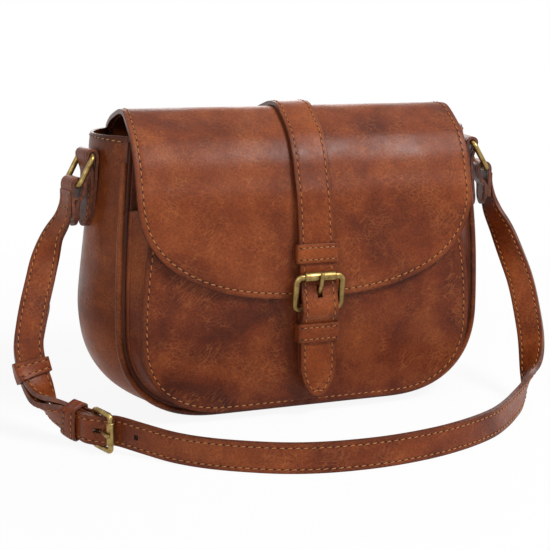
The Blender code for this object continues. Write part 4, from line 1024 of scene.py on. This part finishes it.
def loop(name, half_wide, half_deep, length, ring_at, body, nodes):
    """A leather loop, sewn along both edges: ring_at(along) gives its middle, across and out."""
    points = rounded_box(half_wide, half_deep, LOOP_CORNER, 6)
    section = Route(points + points[:1], 2)

    def on_loop(around, along):
        wide, deep = section.at(around)
        middle, across, out = ring_at(along)
        plump = 0.00025 * (1 - (2 * along / length) ** 2)
        return np.array(middle) + np.array(across) * wide + np.array(out) * (deep + math.copysign(
            plump, deep))

    rows = [mark - length / 2 for mark in stations(length, 0.0016, (0.0004, 0.0011))]
    around = [section.length * step / 60 for step in range(61)]
    link(leather(name + "_leather", around, rows, on_loop, LOOP_LEATHER, (strap_hide, strap_edge),
                 closed=True, rounding=0.0004), body, nodes)
    paths = []
    for along in (STRAP_SEAM - length / 2, length / 2 - STRAP_SEAM):
        for way in (1, -1):
            flat = [mark for mark, row in zip(section.marks, section.rows)
                    if abs(row[1] - way * half_deep) < SAME_PLACE]
            paths.append([(flat[0] + (flat[-1] - flat[0]) * step / 20, along)
                          for step in range(21)])
    sewn(name + "_stitching", body, on_loop, paths, LOOP_LEATHER / 2, (1,), LOOP_PITCH,
         LOOP_STITCH)


def straight_ring(middle, across, out):
    """A loop that runs straight, square to the two given ways."""
    run = np.cross(across, out)
    return lambda along: (np.array(middle) + run * along, across, out)


side = np.array((1.0, 0.0, 0.0))
outward = flap_outward(keeper_distance)
loop_half = CENTRE_WIDTH / 2 + LOOP_SLACK + LOOP_LEATHER / 2
depth, height = profile.at(keeper_distance) + outward * standoff
loop("flap_loop", loop_half, half_strap + LOOP_PLAY + LOOP_LEATHER / 2, KEEPER_LENGTH,
     straight_ring((0, depth, height), side, np.array((0, *outward))), "flap", ["flap_keeper"])
stack_back = chape_depth + CHAPE_THICKNESS / 2
stack_front = tail_depth - half_strap
loop("chape_loop", loop_half, (stack_back - stack_front) / 2 + LOOP_PLAY + LOOP_LEATHER / 2,
     KEEPER_LENGTH, straight_ring((0, (stack_back + stack_front) / 2, CHAPE_KEEPER_HEIGHT), side,
                                  np.array((0, -1.0, 0))), "flap", ["chape_keeper"])

wrap = BUCKLE_WIRE + FIT + CHAPE_THICKNESS / 2
line = [(chape_depth, CHAPE_END), (chape_depth, HEEL_HEIGHT - wrap - BUCKLE_PRONG)]
line += arc((heel_depth, HEEL_HEIGHT), wrap, 0, math.pi, 14)
line += [(heel_depth - wrap * out, HEEL_HEIGHT - CHAPE_RETURN * fall)
         for out, fall in ((0.93, 0.62), (0.35, 1))]
chape_route = Route(line, 2)
SLOT_HALF = 0.0020
slot_start = chape_route.marks[1]


def round_end(near, radius):
    """Share of the half width, this far from a rounded end."""
    return max(dome(near / radius), 0.12)


def u_seam(half, top, foot, straight=12, bend=14):
    """A seam down one edge of a strip, round its rounded end at `foot` and up the other."""
    turn = 1 if foot > top else -1
    path = [(half, top + (foot - half * turn - top) * step / straight)
            for step in range(straight + 1)]
    path += arc((0, foot - half * turn), half, 0, math.pi * turn, bend)[1:-1]
    return path + [(-across, mark) for across, mark in path[straight::-1]]


def on_chape(across, distance):
    """The middle of the strip that is folded round the buckle's heel bar."""
    depth, height = chape_route.at(distance)
    return across, depth, height


def chape_place(across, distance):
    near = chape_route.at(distance)[1] - CHAPE_END if distance < slot_start else half
    return on_chape(across * round_end(near, half), distance)


columns, rows, keep = slotted(CENTRE_WIDTH, 0.0036, stations(chape_route.length, 0.0022),
                              [(slot_start, chape_route.length)], SLOT_HALF, 0)
link(leather("chape_leather", columns, rows, chape_place, CHAPE_THICKNESS,
             (strap_hide, strap_edge), keep=keep, rounding=0.0005), "flap", ["chape"])
path = u_seam(half - STRAP_SEAM, slot_start - 0.006, STRAP_SEAM, 20, 16)
sewn("chape_stitching", "flap", on_chape, [path], CHAPE_THICKNESS / 2, size=0.9)


# Buckle: cast brass with a satin antique finish, brushed along its length. The frame is bent
# wire-like and slightly flattened, the roller a turned sleeve, the prong a flattened pin.
def antique_brass(name):
    """Yellow-brown brass with cloudy tarnish, whose highlights are soft and a little streaked."""
    material, tree, shader = new_material(name)
    mm = millimetres(tree)
    tarnish = add(tree, "TexNoise", {"Vector": mm, "Scale": 1 / 4.5, "Detail": 4.0,
                                     "Roughness": 0.6})
    colour = add(tree, "ValToRGB", {"Fac": tarnish},
                 stops=[(0.30, linear("#6f5934")), (0.5, linear("#967d4b")),
                        (0.75, linear("#b49b64"))])
    cloudy = add(tree, "MapRange", {0: tarnish, 1: 0.3, 2: 0.7, 3: 0.42, 4: 0.30})
    # Brush marks 0.25 mm apart
    brushed = add(tree, "TexNoise", {"Vector": mm, "Scale": 1 / 0.25, "Detail": 2.0})
    bump = add(tree, "Bump", {"Height": brushed, "Strength": 0.25, "Distance": 0.00004})
    feed(tree, shader, {"Base Color": colour, "Metallic": 1.0, "Roughness": cloudy,
                        "Normal": bump})
    return material


brass = antique_brass("satin_antique_brass")
BAR_SIDES = 20


def bent_bar(name, middle, across, along, sizes, radius, body, nodes, flat=1.0):
    """Bar bent into a rectangle with round corners, whose section is a little flattened."""
    points = np.array([middle + across * wide + along * far
                       for wide, far in rounded_box(*sizes, 10)])
    count = len(points)
    out = np.cross(across, along)

    def place(column, row):
        turn = 2 * math.pi * column / BAR_SIDES
        run = unit(points[(row + 1) % count] - points[row % count - 1])
        wide, deep = squared(turn, 0.85)
        return points[row % count] + (np.cross(run, out) * wide + out * deep * flat) * radius

    thing = smoothed(finished(name, skin(BAR_SIDES, count, place), [brass]))
    link(thing, body, nodes)


def buckle(name, heel, far, across, sizes, bodies):
    """The frame, roller and prong of one buckle, from its heel bar to its roller bar."""
    half, wire, corner, roller, prong, length = sizes
    heel, far = np.array(heel, dtype=float), np.array(far, dtype=float)
    along = unit(far - heel)
    across = unit(across - along * np.dot(across, along))
    out = np.cross(across, along)
    reach = np.linalg.norm(far - heel)
    bent_bar(name + "_frame_brass", (heel + far) / 2, across, along, (half, reach / 2, corner),
             wire, bodies[0], [name + "_frame"], 0.94)
    sleeve = Route([far - across * length / 2, far + across * length / 2], 3)

    def turned(mark):
        """Square ends with a small bevel, and a fine groove beside each."""
        near = min(mark, sleeve.length - mark)
        if near < 1e-6:
            return 0.0
        return roller - max(0.0005 - near, 0) * 0.7 - 0.00014 * math.exp(
            -((near - 0.0013) / 0.00022) ** 2)

    thing = tube(name + "_roller_brass", sleeve, turned, brass, 32, 0.0006)
    link(thing, bodies[1], [name + "_roller"])
    eye, over = wire + FIT + prong, roller + FIT + prong
    curl = arc((0, 0), eye, math.radians(-20), math.radians(-220), 14)
    shank = smooth([curl[-1], (over * 0.35, reach * 0.55), (over, reach),
                    (over * 0.95, reach + 0.0045)], 8)
    pin = Route([heel + out * off + along * far_on for off, far_on in [*curl, *shank[2:]]], 3)
    thing = tube(name + "_prong_brass", pin, rounded(pin.length, prong), brass, 14, 0.0011,
                 across, 1.28)
    link(thing, bodies[2], [name + "_prong"])
    return across


buckle("flap_buckle", (0, heel_depth, HEEL_HEIGHT), (0, roller_depth, ROLLER_HEIGHT), side,
       (BUCKLE_HALF, BUCKLE_WIRE, BUCKLE_CORNER, BUCKLE_ROLLER, BUCKLE_PRONG, ROLLER_LENGTH),
       ("flap", "flap_roller", "flap_prong"))
for name in ("snap_socket", "snap_stud"):
    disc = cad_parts[name]
    disc.data.materials.clear()
    disc.data.materials.append(brass)


# Side tabs and rings: each tab is a folded strip sewn to the gusset, with its roll round a
# rectangular brass ring; the strap's end is folded over the ring's lower bar in the same way.
TAB_PLACE, TAB_WIDTH, TAB_LEATHER, TAB_FOOT = -0.008, 0.0194, 0.0020, 0.131
TAB_ROLL_HEIGHT, TAB_SEAT = 0.179, 0.0009
RING_WIRE, RING_HALF_WIDTH, RING_HALF_DROP, RING_CORNER = 0.0019, 0.0122, 0.0111, 0.0038
RING_SPLAY = math.radians(30)
STRAP_WIDTH, STRAP_THICKNESS, END_LEATHER = 0.019, 0.0032, 0.0024
LOOP_FOOT, LOOP_HANG = 0.132, 0.0210
TAB_SEAM, TAB_SEAM_TOP = 0.0026, 0.0326
SIDE_PITCH, SIDE_STITCH = 0.0042, 0.85


def gusset_half(height, depth):
    """Half width over the gusset's outer face at a place on its side."""
    front = front_seam(height) + GUSSET_GAP
    back = SEAM_DEPTH - GUSSET_GAP
    side = (2 * depth - front - back) / (back - front)
    return body.half_at(height) + gusset_swell(abs(side), (RIM_HEIGHT - height) / half_girth)


class Side:
    """One side of the bag: where its tab, ring and the strap's folded end are."""

    def __init__(self, name, sign, turn):
        self.name, self.sign = name, sign
        self.outward = np.array((sign * math.cos(turn), -math.sin(turn), 0))
        self.across = np.array((sign * math.sin(turn), math.cos(turn), 0))
        self.up = np.array((0, 0, 1.0))
        self.inner = TAB_SEAT + TAB_LEATHER / 2
        self.roll = RING_WIRE + 0.0008 + TAB_LEATHER / 2
        self.roll_out = self.inner + self.roll - TAB_LEATHER / 4
        self.base = gusset_half(TAB_ROLL_HEIGHT - self.roll, TAB_PLACE)
        self.top_bar = self.on_side(self.roll_out, TAB_ROLL_HEIGHT)
        self.hang = self.outward * math.sin(RING_SPLAY) - self.up * math.cos(RING_SPLAY)
        self.low_bar = self.top_bar + self.hang * 2 * RING_HALF_DROP
        self.leg = RING_WIRE + FIT + END_LEATHER / 2

    def on_side(self, out, height):
        level = min(height, TAB_ROLL_HEIGHT - self.roll)
        base = np.array((self.sign * gusset_half(level, TAB_PLACE), TAB_PLACE, height))
        return base + self.outward * out

    def fold(self, name, node, line, at, near, width, thickness, seam, top, edge_of=None):
        """A strip folded along a line of places, with a rounded foot `near` it, and its seam."""
        route = Route(line, 2)

        def surface(across, mark):
            return at(*route.at(mark)) + self.across * across

        def place(across, mark):
            return surface(across * round_end(near(route, mark), width / 2), mark)

        columns = [mark - width / 2 for mark in stations(width, 0.003)]
        rows = stations(route.length, 0.0022, (0.0003, 0.0009, 0.0018, 0.0032))
        link(leather(name + "_leather_" + self.name, columns, rows, place, thickness,
                     (strap_hide, strap_edge), rounding=0.0006, edge_of=edge_of and (
                         lambda across, mark: edge_of(across, route.length - mark))),
             "bag_body", [node + "_" + self.name])
        path = u_seam(width / 2 - seam, route.length - top, route.length - seam)
        sewn(name + "_stitching_" + self.name, "bag_body", surface, [path], thickness / 2, (1, -1),
             SIDE_PITCH, SIDE_STITCH)

    def make_tab(self):
        outer = self.inner + TAB_LEATHER + FIT
        bend = TAB_ROLL_HEIGHT - 2 * self.roll
        line = [(self.inner, TAB_FOOT), (self.inner, bend)]
        line += arc((self.roll_out, TAB_ROLL_HEIGHT), self.roll, math.pi, 0, 18)
        line += [(outer + 0.0003, bend - 0.004), (outer, bend - 0.012), (outer, TAB_FOOT)]
        self.fold("tab", "tab", line, self.on_side,
                  lambda route, mark: route.at(mark)[1] - TAB_FOOT, TAB_WIDTH, TAB_LEATHER,
                  TAB_SEAM, TAB_SEAM_TOP)

    def make_ring(self):
        middle = (self.top_bar + self.low_bar) / 2
        bent_bar("ring_brass_" + self.name, middle, self.across, self.hang,
                 (RING_HALF_WIDTH, RING_HALF_DROP, RING_CORNER), RING_WIRE, self.name + "_ring",
                 ["ring_" + self.name])

    def make_strap_loop(self):
        """The folded end: down the outside, over the bar, and back on the bag's side."""
        cavity = RING_WIRE + FIT + 0.0021 / 2
        bend = cavity + END_LEATHER / 2
        middle = self.leg - bend
        back = middle - bend
        join = self.leg - END_LEATHER - FIT
        fall = LOOP_HANG * 0.6
        ends = smooth([(back, 0), (join + (back - join) * 0.8, -fall * 0.4),
                       (join + (back - join) * 0.5, -fall * 0.75), (join, -fall),
                       (join, LOOP_FOOT - self.low_bar[2])], 6)
        line = [(self.leg, -LOOP_HANG), *arc((middle, 0), bend, 0, math.pi, 18), *ends[1:]]
        self.fold("strap_end", "strap_loop", line,
                  lambda out, rise: self.low_bar + self.outward * out + self.up * rise,
                  lambda route, mark: route.length - mark, STRAP_WIDTH, END_LEATHER, STRAP_SEAM,
                  0.020, lambda across, near: min(STRAP_WIDTH / 2 - abs(across), near))

    def lap(self, height):
        """Middle of the strap where its skived end lies on the outside of the folded end."""
        out = self.leg + END_LEATHER / 2 + FIT + STRAP_THICKNESS / 2
        place = self.low_bar + self.outward * out
        return place[0], place[1], height


left = Side("left", -1, math.radians(13))
right = Side("right", 1, math.radians(9))
for each in (left, right):
    each.make_tab()
    each.make_ring()
    each.make_strap_loop()


# Shoulder strap: a long strap with a pointed, punched tail and a short one that holds the
# buckle, both 19 mm wide, sewn along both edges and skived where they lie on the folded ends.
STRAP_SPREAD, STRAP_REACH, STRAP_PIVOT = 0.190, 0.174, 0.147
STRAP_SHARES = (
    (-0.887, -0.072, 0.843, -0.6, 0.8, 0, 0), (-0.918, -0.098, 0.738, -0.9, 0.43, 0.05, 0),
    (-0.939, -0.126, 0.657, -0.95, 0.3, 0.05, 0), (-0.963, -0.161, 0.566, -0.96, 0.25, 0.08, 0),
    (-0.984, -0.195, 0.466, -0.96, 0.2, 0.15, 0), (-0.997, -0.230, 0.369, -0.93, 0.15, 0.3, 0),
    (-0.984, -0.264, 0.242, -0.84, 0.05, 0.5, 0.2),
    (-0.942, -0.316, 0.106, -0.66, -0.05, 0.74, 0.7),
    (-0.879, -0.394, 0.024, -0.28, -0.05, 0.96, 1), (-0.816, -0.471, 0.002, 0, 0, 1, 1),
    (-0.747, -0.549, 0, 0, 0, 1, 1), (-0.679, -0.629, 0, 0, 0, 1, 0.6),
    (-0.595, -0.718, 0, 0, 0, 1, 0.1), (-0.500, -0.805, 0, 0, 0, 1, 0),
    (-0.390, -0.879, 0, 0, 0, 1, 0), (-0.274, -0.937, 0, 0, 0, 1, 0),
    (-0.147, -0.971, 0, 0, 0, 1, 0), (0, -0.983, 0, 0, 0, 1, 0), (0.126, -0.974, 0, 0, 0, 1, 0),
    (0.253, -0.948, 0, 0, 0, 1, 0), (0.379, -0.902, 0, 0, 0, 1, 0), (0.495, -0.839, 0, 0, 0, 1, 0),
    (0.589, -0.759, 0, 0, 0, 1, 0), (0.668, -0.675, 0, 0, 0, 1, 0),
    (0.737, -0.600, 0.008, 0.05, -0.05, 1, 0), (0.795, -0.537, 0.058, 0.25, -0.2, 0.9, 0),
    (0.834, -0.486, 0.145, 0.5, -0.45, 0.7, 0), (0.863, -0.425, 0.259, 0.66, -0.62, 0.42, 0),
    (0.884, -0.348, 0.381, 0.72, -0.68, 0.2, 0), (0.895, -0.267, 0.524, 0.68, -0.73, 0, 0),
    (0.889, -0.187, 0.653, 0.56, -0.83, 0, 0), (0.876, -0.121, 0.769, 0.4, -0.9, 0, 0),
)
HEEL_STATION, SMOOTH_STEPS = 12, 6
BUCKLE2_HALF, BUCKLE2_WIRE, BUCKLE2_CORNER, BUCKLE2_REACH = 0.0117, 0.0018, 0.0025, 0.0174
BUCKLE2_ROLLER, BUCKLE2_PRONG, ROLLER2_LENGTH = 0.0026, 0.0010, 0.0150
KEEPER2_LENGTH, UNDER_ROLLER, FOLD_BLEND = 0.0115, 0.0025, 0.006
KEEPER_PLAY, TAIL_REACH, FIXED_PLACE, SLIDING_PLACE = 0.0009, 0.118, 0.0155, 0.062
THIN, THIN_RETURN, HOLE_PITCH, TAIL_TIP = 0.0016, 0.020, 0.025, 0.014
SKIVE, END_SEAM, CROSS_SEAM = 0.026, 0.0030, 0.0115
STRAP_PITCH, STRAP_STITCH = 0.0047, 0.9
half = STRAP_WIDTH / 2
half_thick = STRAP_THICKNESS / 2
lift_rest = BUCKLE2_HALF + BUCKLE2_WIRE - half + FIT
edge_left = left.across
edge_right = -right.across
rows = [(*left.lap(STRAP_PIVOT + half), *edge_left, 0), (*left.lap(STRAP_PIVOT), *edge_left, 0),
        (*left.lap(STRAP_PIVOT * 0.925), *(edge_left * 0.9 + np.array((-0.18, 0, 0))), 0)]
rows[2] = (rows[2][0] - 0.0022, rows[2][1] + 0.0002, *rows[2][2:])
for across, forward, lift, *edge in STRAP_SHARES:
    rows.append((across * STRAP_SPREAD, forward * STRAP_REACH, lift * STRAP_PIVOT, *edge))
last = right.lap(STRAP_PIVOT * 0.884)
rows += [(last[0] + 0.0018, last[1] - 0.0008, last[2], 0.14, -0.98, 0, 0),
         (*right.lap(STRAP_PIVOT), *edge_right, 0),
         (*right.lap(STRAP_PIVOT + half), *edge_right, 0)]
rows = smooth(rows, SMOOTH_STEPS)
for row in rows:
    row[3:6] = unit(row[3:6])
    row[2] += half * abs(row[5]) + lift_rest * row[6]
strap = Route(rows[:, :6], 3)
heel_mark = strap.marks[HEEL_STATION * SMOOTH_STEPS]


def strap_frame(distance):
    """Middle, heading, upper edge's direction and outward direction at a distance."""
    row = strap.at(distance)
    heading = strap.heading(distance)
    edge = unit(row[3:6] - heading * np.dot(row[3:6], heading))
    return row[:3], heading, edge, np.cross(heading, edge)


def skived(near):
    """Share of the full thickness, this far from the end that lies on the folded end."""
    return 0.14 + 0.86 * min(max(near, 0) / SKIVE, 1) ** 1.3


over_heel = BUCKLE2_WIRE + 2 * FIT + 2 * BUCKLE2_PRONG + half_thick
layer = STRAP_THICKNESS + 0.0009
table = [(-TAIL_REACH, layer * 1.6)]
for place in (SLIDING_PLACE, FIXED_PLACE):
    table.append((-place - KEEPER2_LENGTH * 0.62, layer))
    table.append((-place + KEEPER2_LENGTH * 0.62, layer))
table.insert(3, (-(SLIDING_PLACE + FIXED_PLACE) / 2, layer * 1.6))
table += [(-FIXED_PLACE / 3, (layer + over_heel) / 2), (0, over_heel),
          (BUCKLE2_REACH, UNDER_ROLLER), (2 * BUCKLE2_REACH, 0), (strap.length, 0)]
table = smooth(table, 6)
tail = heel_mark - TAIL_REACH


def on_long(across, distance):
    """The middle of the long strap; the tail lies over the short one as far as the buckle."""
    middle, _, edge, outward = strap_frame(distance)
    out = np.interp(distance - heel_mark, table[:, 0], table[:, 1])
    out -= half_thick * (1 - skived(strap.length - distance))
    return middle + outward * out + edge * across


def long_place(across, distance):
    return on_long(across * tip_share(distance - tail, TAIL_TIP), distance)


def thickness_of_long(across, distance):
    return skived(strap.length - distance)


HOLE_HALF, HOLE_SHADE = 0.0016, (1.9, 3.2, 4)
crossing = heel_mark + BUCKLE2_REACH * 0.46
holes = [(crossing + count * HOLE_PITCH, HOLE_HALF) for count in (-3, -2, -1, 1)]
holes.append((crossing - 0.0014, 0.0033))
rows = [tail + mark for mark in stations(strap.length - tail, 0.0036, THIN_ENDS)]
columns, rows, keep = slotted(STRAP_WIDTH, 0.0032, rows,
                              [(place - reach, place + reach) for place, reach in holes],
                              HOLE_HALF, 0.0013)
link(leather("long_strap_leather", columns, rows, long_place, STRAP_THICKNESS,
             (strap_hide, strap_edge), keep=keep,
             edge_of=lambda across, distance: min(half - abs(across), distance - tail),
             thick_of=thickness_of_long, rounding=0.0009), "shoulder_strap", ["long_strap"])


seam = half - STRAP_SEAM
start = tail + TAIL_TIP
top = strap.length - END_SEAM
cross = [seam - 2 * seam * step / 8 for step in range(9)]
path = [(seam, top - (top - start) * step / 200) for step in range(201)]
for step in range(1, 12):
    near = TAIL_TIP * (1 - step / 11) + 0.0042 * step / 11
    path.append((max(half * tip_share(near, TAIL_TIP) - STRAP_SEAM * 1.08, 0), tail + near))
path[-1] = (0, tail + 0.0042)
path += [(-across, distance) for across, distance in path[-2::-1]]
# Each punched hole gets a dark disc of painted shade inside it.
sewn("long_strap_stitching", "shoulder_strap", on_long,
     [path, [(across, strap.length - CROSS_SEAM) for across in cross]],
     lambda across, distance: half_thick * thickness_of_long(across, distance), (1, -1),
     STRAP_PITCH, STRAP_STITCH,
     [(on_long(0, place), Matrix((*zip(*strap_frame(place)[1:]),)).to_4x4(), HOLE_SHADE)
      for place, _ in holes[:-1]])

heel = strap_frame(heel_mark)[0]
middle, _, edge, outward = strap_frame(heel_mark + BUCKLE2_REACH)
far = middle + outward * (UNDER_ROLLER + half_thick + FIT + BUCKLE2_ROLLER)
edge = strap_frame(heel_mark + BUCKLE2_REACH / 2)[2]
bar = -buckle("strap_buckle", heel, far, -edge,
              (BUCKLE2_HALF, BUCKLE2_WIRE, BUCKLE2_CORNER, BUCKLE2_ROLLER, BUCKLE2_PRONG,
               ROLLER2_LENGTH), ("shoulder_strap", "strap_roller", "strap_prong"))
wrap = BUCKLE2_WIRE + FIT + THIN / 2
under = -(half_thick + LOOP_PLAY + THIN / 2)
run = heel_mark - 1.2 * KEEPER2_LENGTH
thin_share = THIN / STRAP_THICKNESS
line = [(run * step / 40, 0, 1) for step in range(41)]
line += [(run + (heel_mark - run) * along, wrap * out, thick * thin_share)
         for along, out, thick in ((0.3, 0.15, 1.2), (0.62, 0.55, 1))]
slot_from = len(line) - 1
line += [(heel_mark + along, out, thin_share)
         for along, out in arc((0, 0), wrap, math.pi / 2, -math.pi / 2, 14)]
line += [(heel_mark - THIN_RETURN * share, under, thin_share) for share in (0.3, 0.5, 0.75, 1)]
short = Route(line, 2)
slot_from, slot_to = short.marks[slot_from], short.marks[-3]
ahead = strap_frame(heel_mark)[1]
ahead = unit(ahead - bar * np.dot(ahead, bar))


def on_short(across, mark):
    """The middle of the short strap, which folds round the buckle's heel bar."""
    distance, out, _ = short.at(mark)
    out += half_thick * (1 - skived(distance)) if distance < SKIVE else 0
    middle, _, edge, outward = strap_frame(distance)
    along = distance - heel_mark
    share = min(max(1.5 - abs(along) / FOLD_BLEND, 0), 1)
    folded = heel + ahead * along + np.cross(ahead, bar) * out + bar * across
    return folded * share + (middle + outward * out + edge * across) * (1 - share)


def thickness_of_short(across, mark):
    distance, _, thick = short.at(mark)
    return thick * (skived(distance) if distance < SKIVE else 1)


rows = stations(short.length, 0.003, (0.0003, 0.001, 0.002, 0.0034))
columns, rows, keep = slotted(STRAP_WIDTH, 0.0032, rows, [(slot_from, slot_to)], HOLE_HALF, 0.001)
link(leather("short_strap_leather", columns, rows, on_short, STRAP_THICKNESS,
             (strap_hide, strap_edge), keep=keep,
             edge_of=lambda across, mark: min(half - abs(across), short.length - mark),
             thick_of=thickness_of_short, rounding=0.0006), "shoulder_strap", ["short_strap"])
path = [(seam, END_SEAM + (slot_from - END_SEAM - 0.012) * step / 80) for step in range(81)]
sewn("short_strap_stitching", "shoulder_strap", on_short,
     [path, [(-across, mark) for across, mark in path],
      [(across, CROSS_SEAM) for across in cross]],
     lambda across, mark: half_thick * thickness_of_short(across, mark), (1, -1), STRAP_PITCH,
     STRAP_STITCH)


def keeper(name, node, place, low, high, riding):
    """A loop round the strap's layers, which follows the strap's bend."""
    def ring_at(along):
        middle, _, edge, outward = strap_frame(heel_mark - place + along)
        return middle + outward * (low + high) / 2, edge, outward

    loop(name, half + LOOP_SLACK + LOOP_LEATHER / 2,
         (high - low) / 2 + KEEPER_PLAY + LOOP_LEATHER / 2, KEEPER2_LENGTH, ring_at, riding,
         [node])


keeper("fixed_loop", "fixed_keeper", FIXED_PLACE, under - THIN / 2, layer + half_thick,
       "shoulder_strap")
keeper("sliding_loop", "sliding_keeper", SLIDING_PLACE, -half_thick, layer + half_thick,
       "strap_keeper")
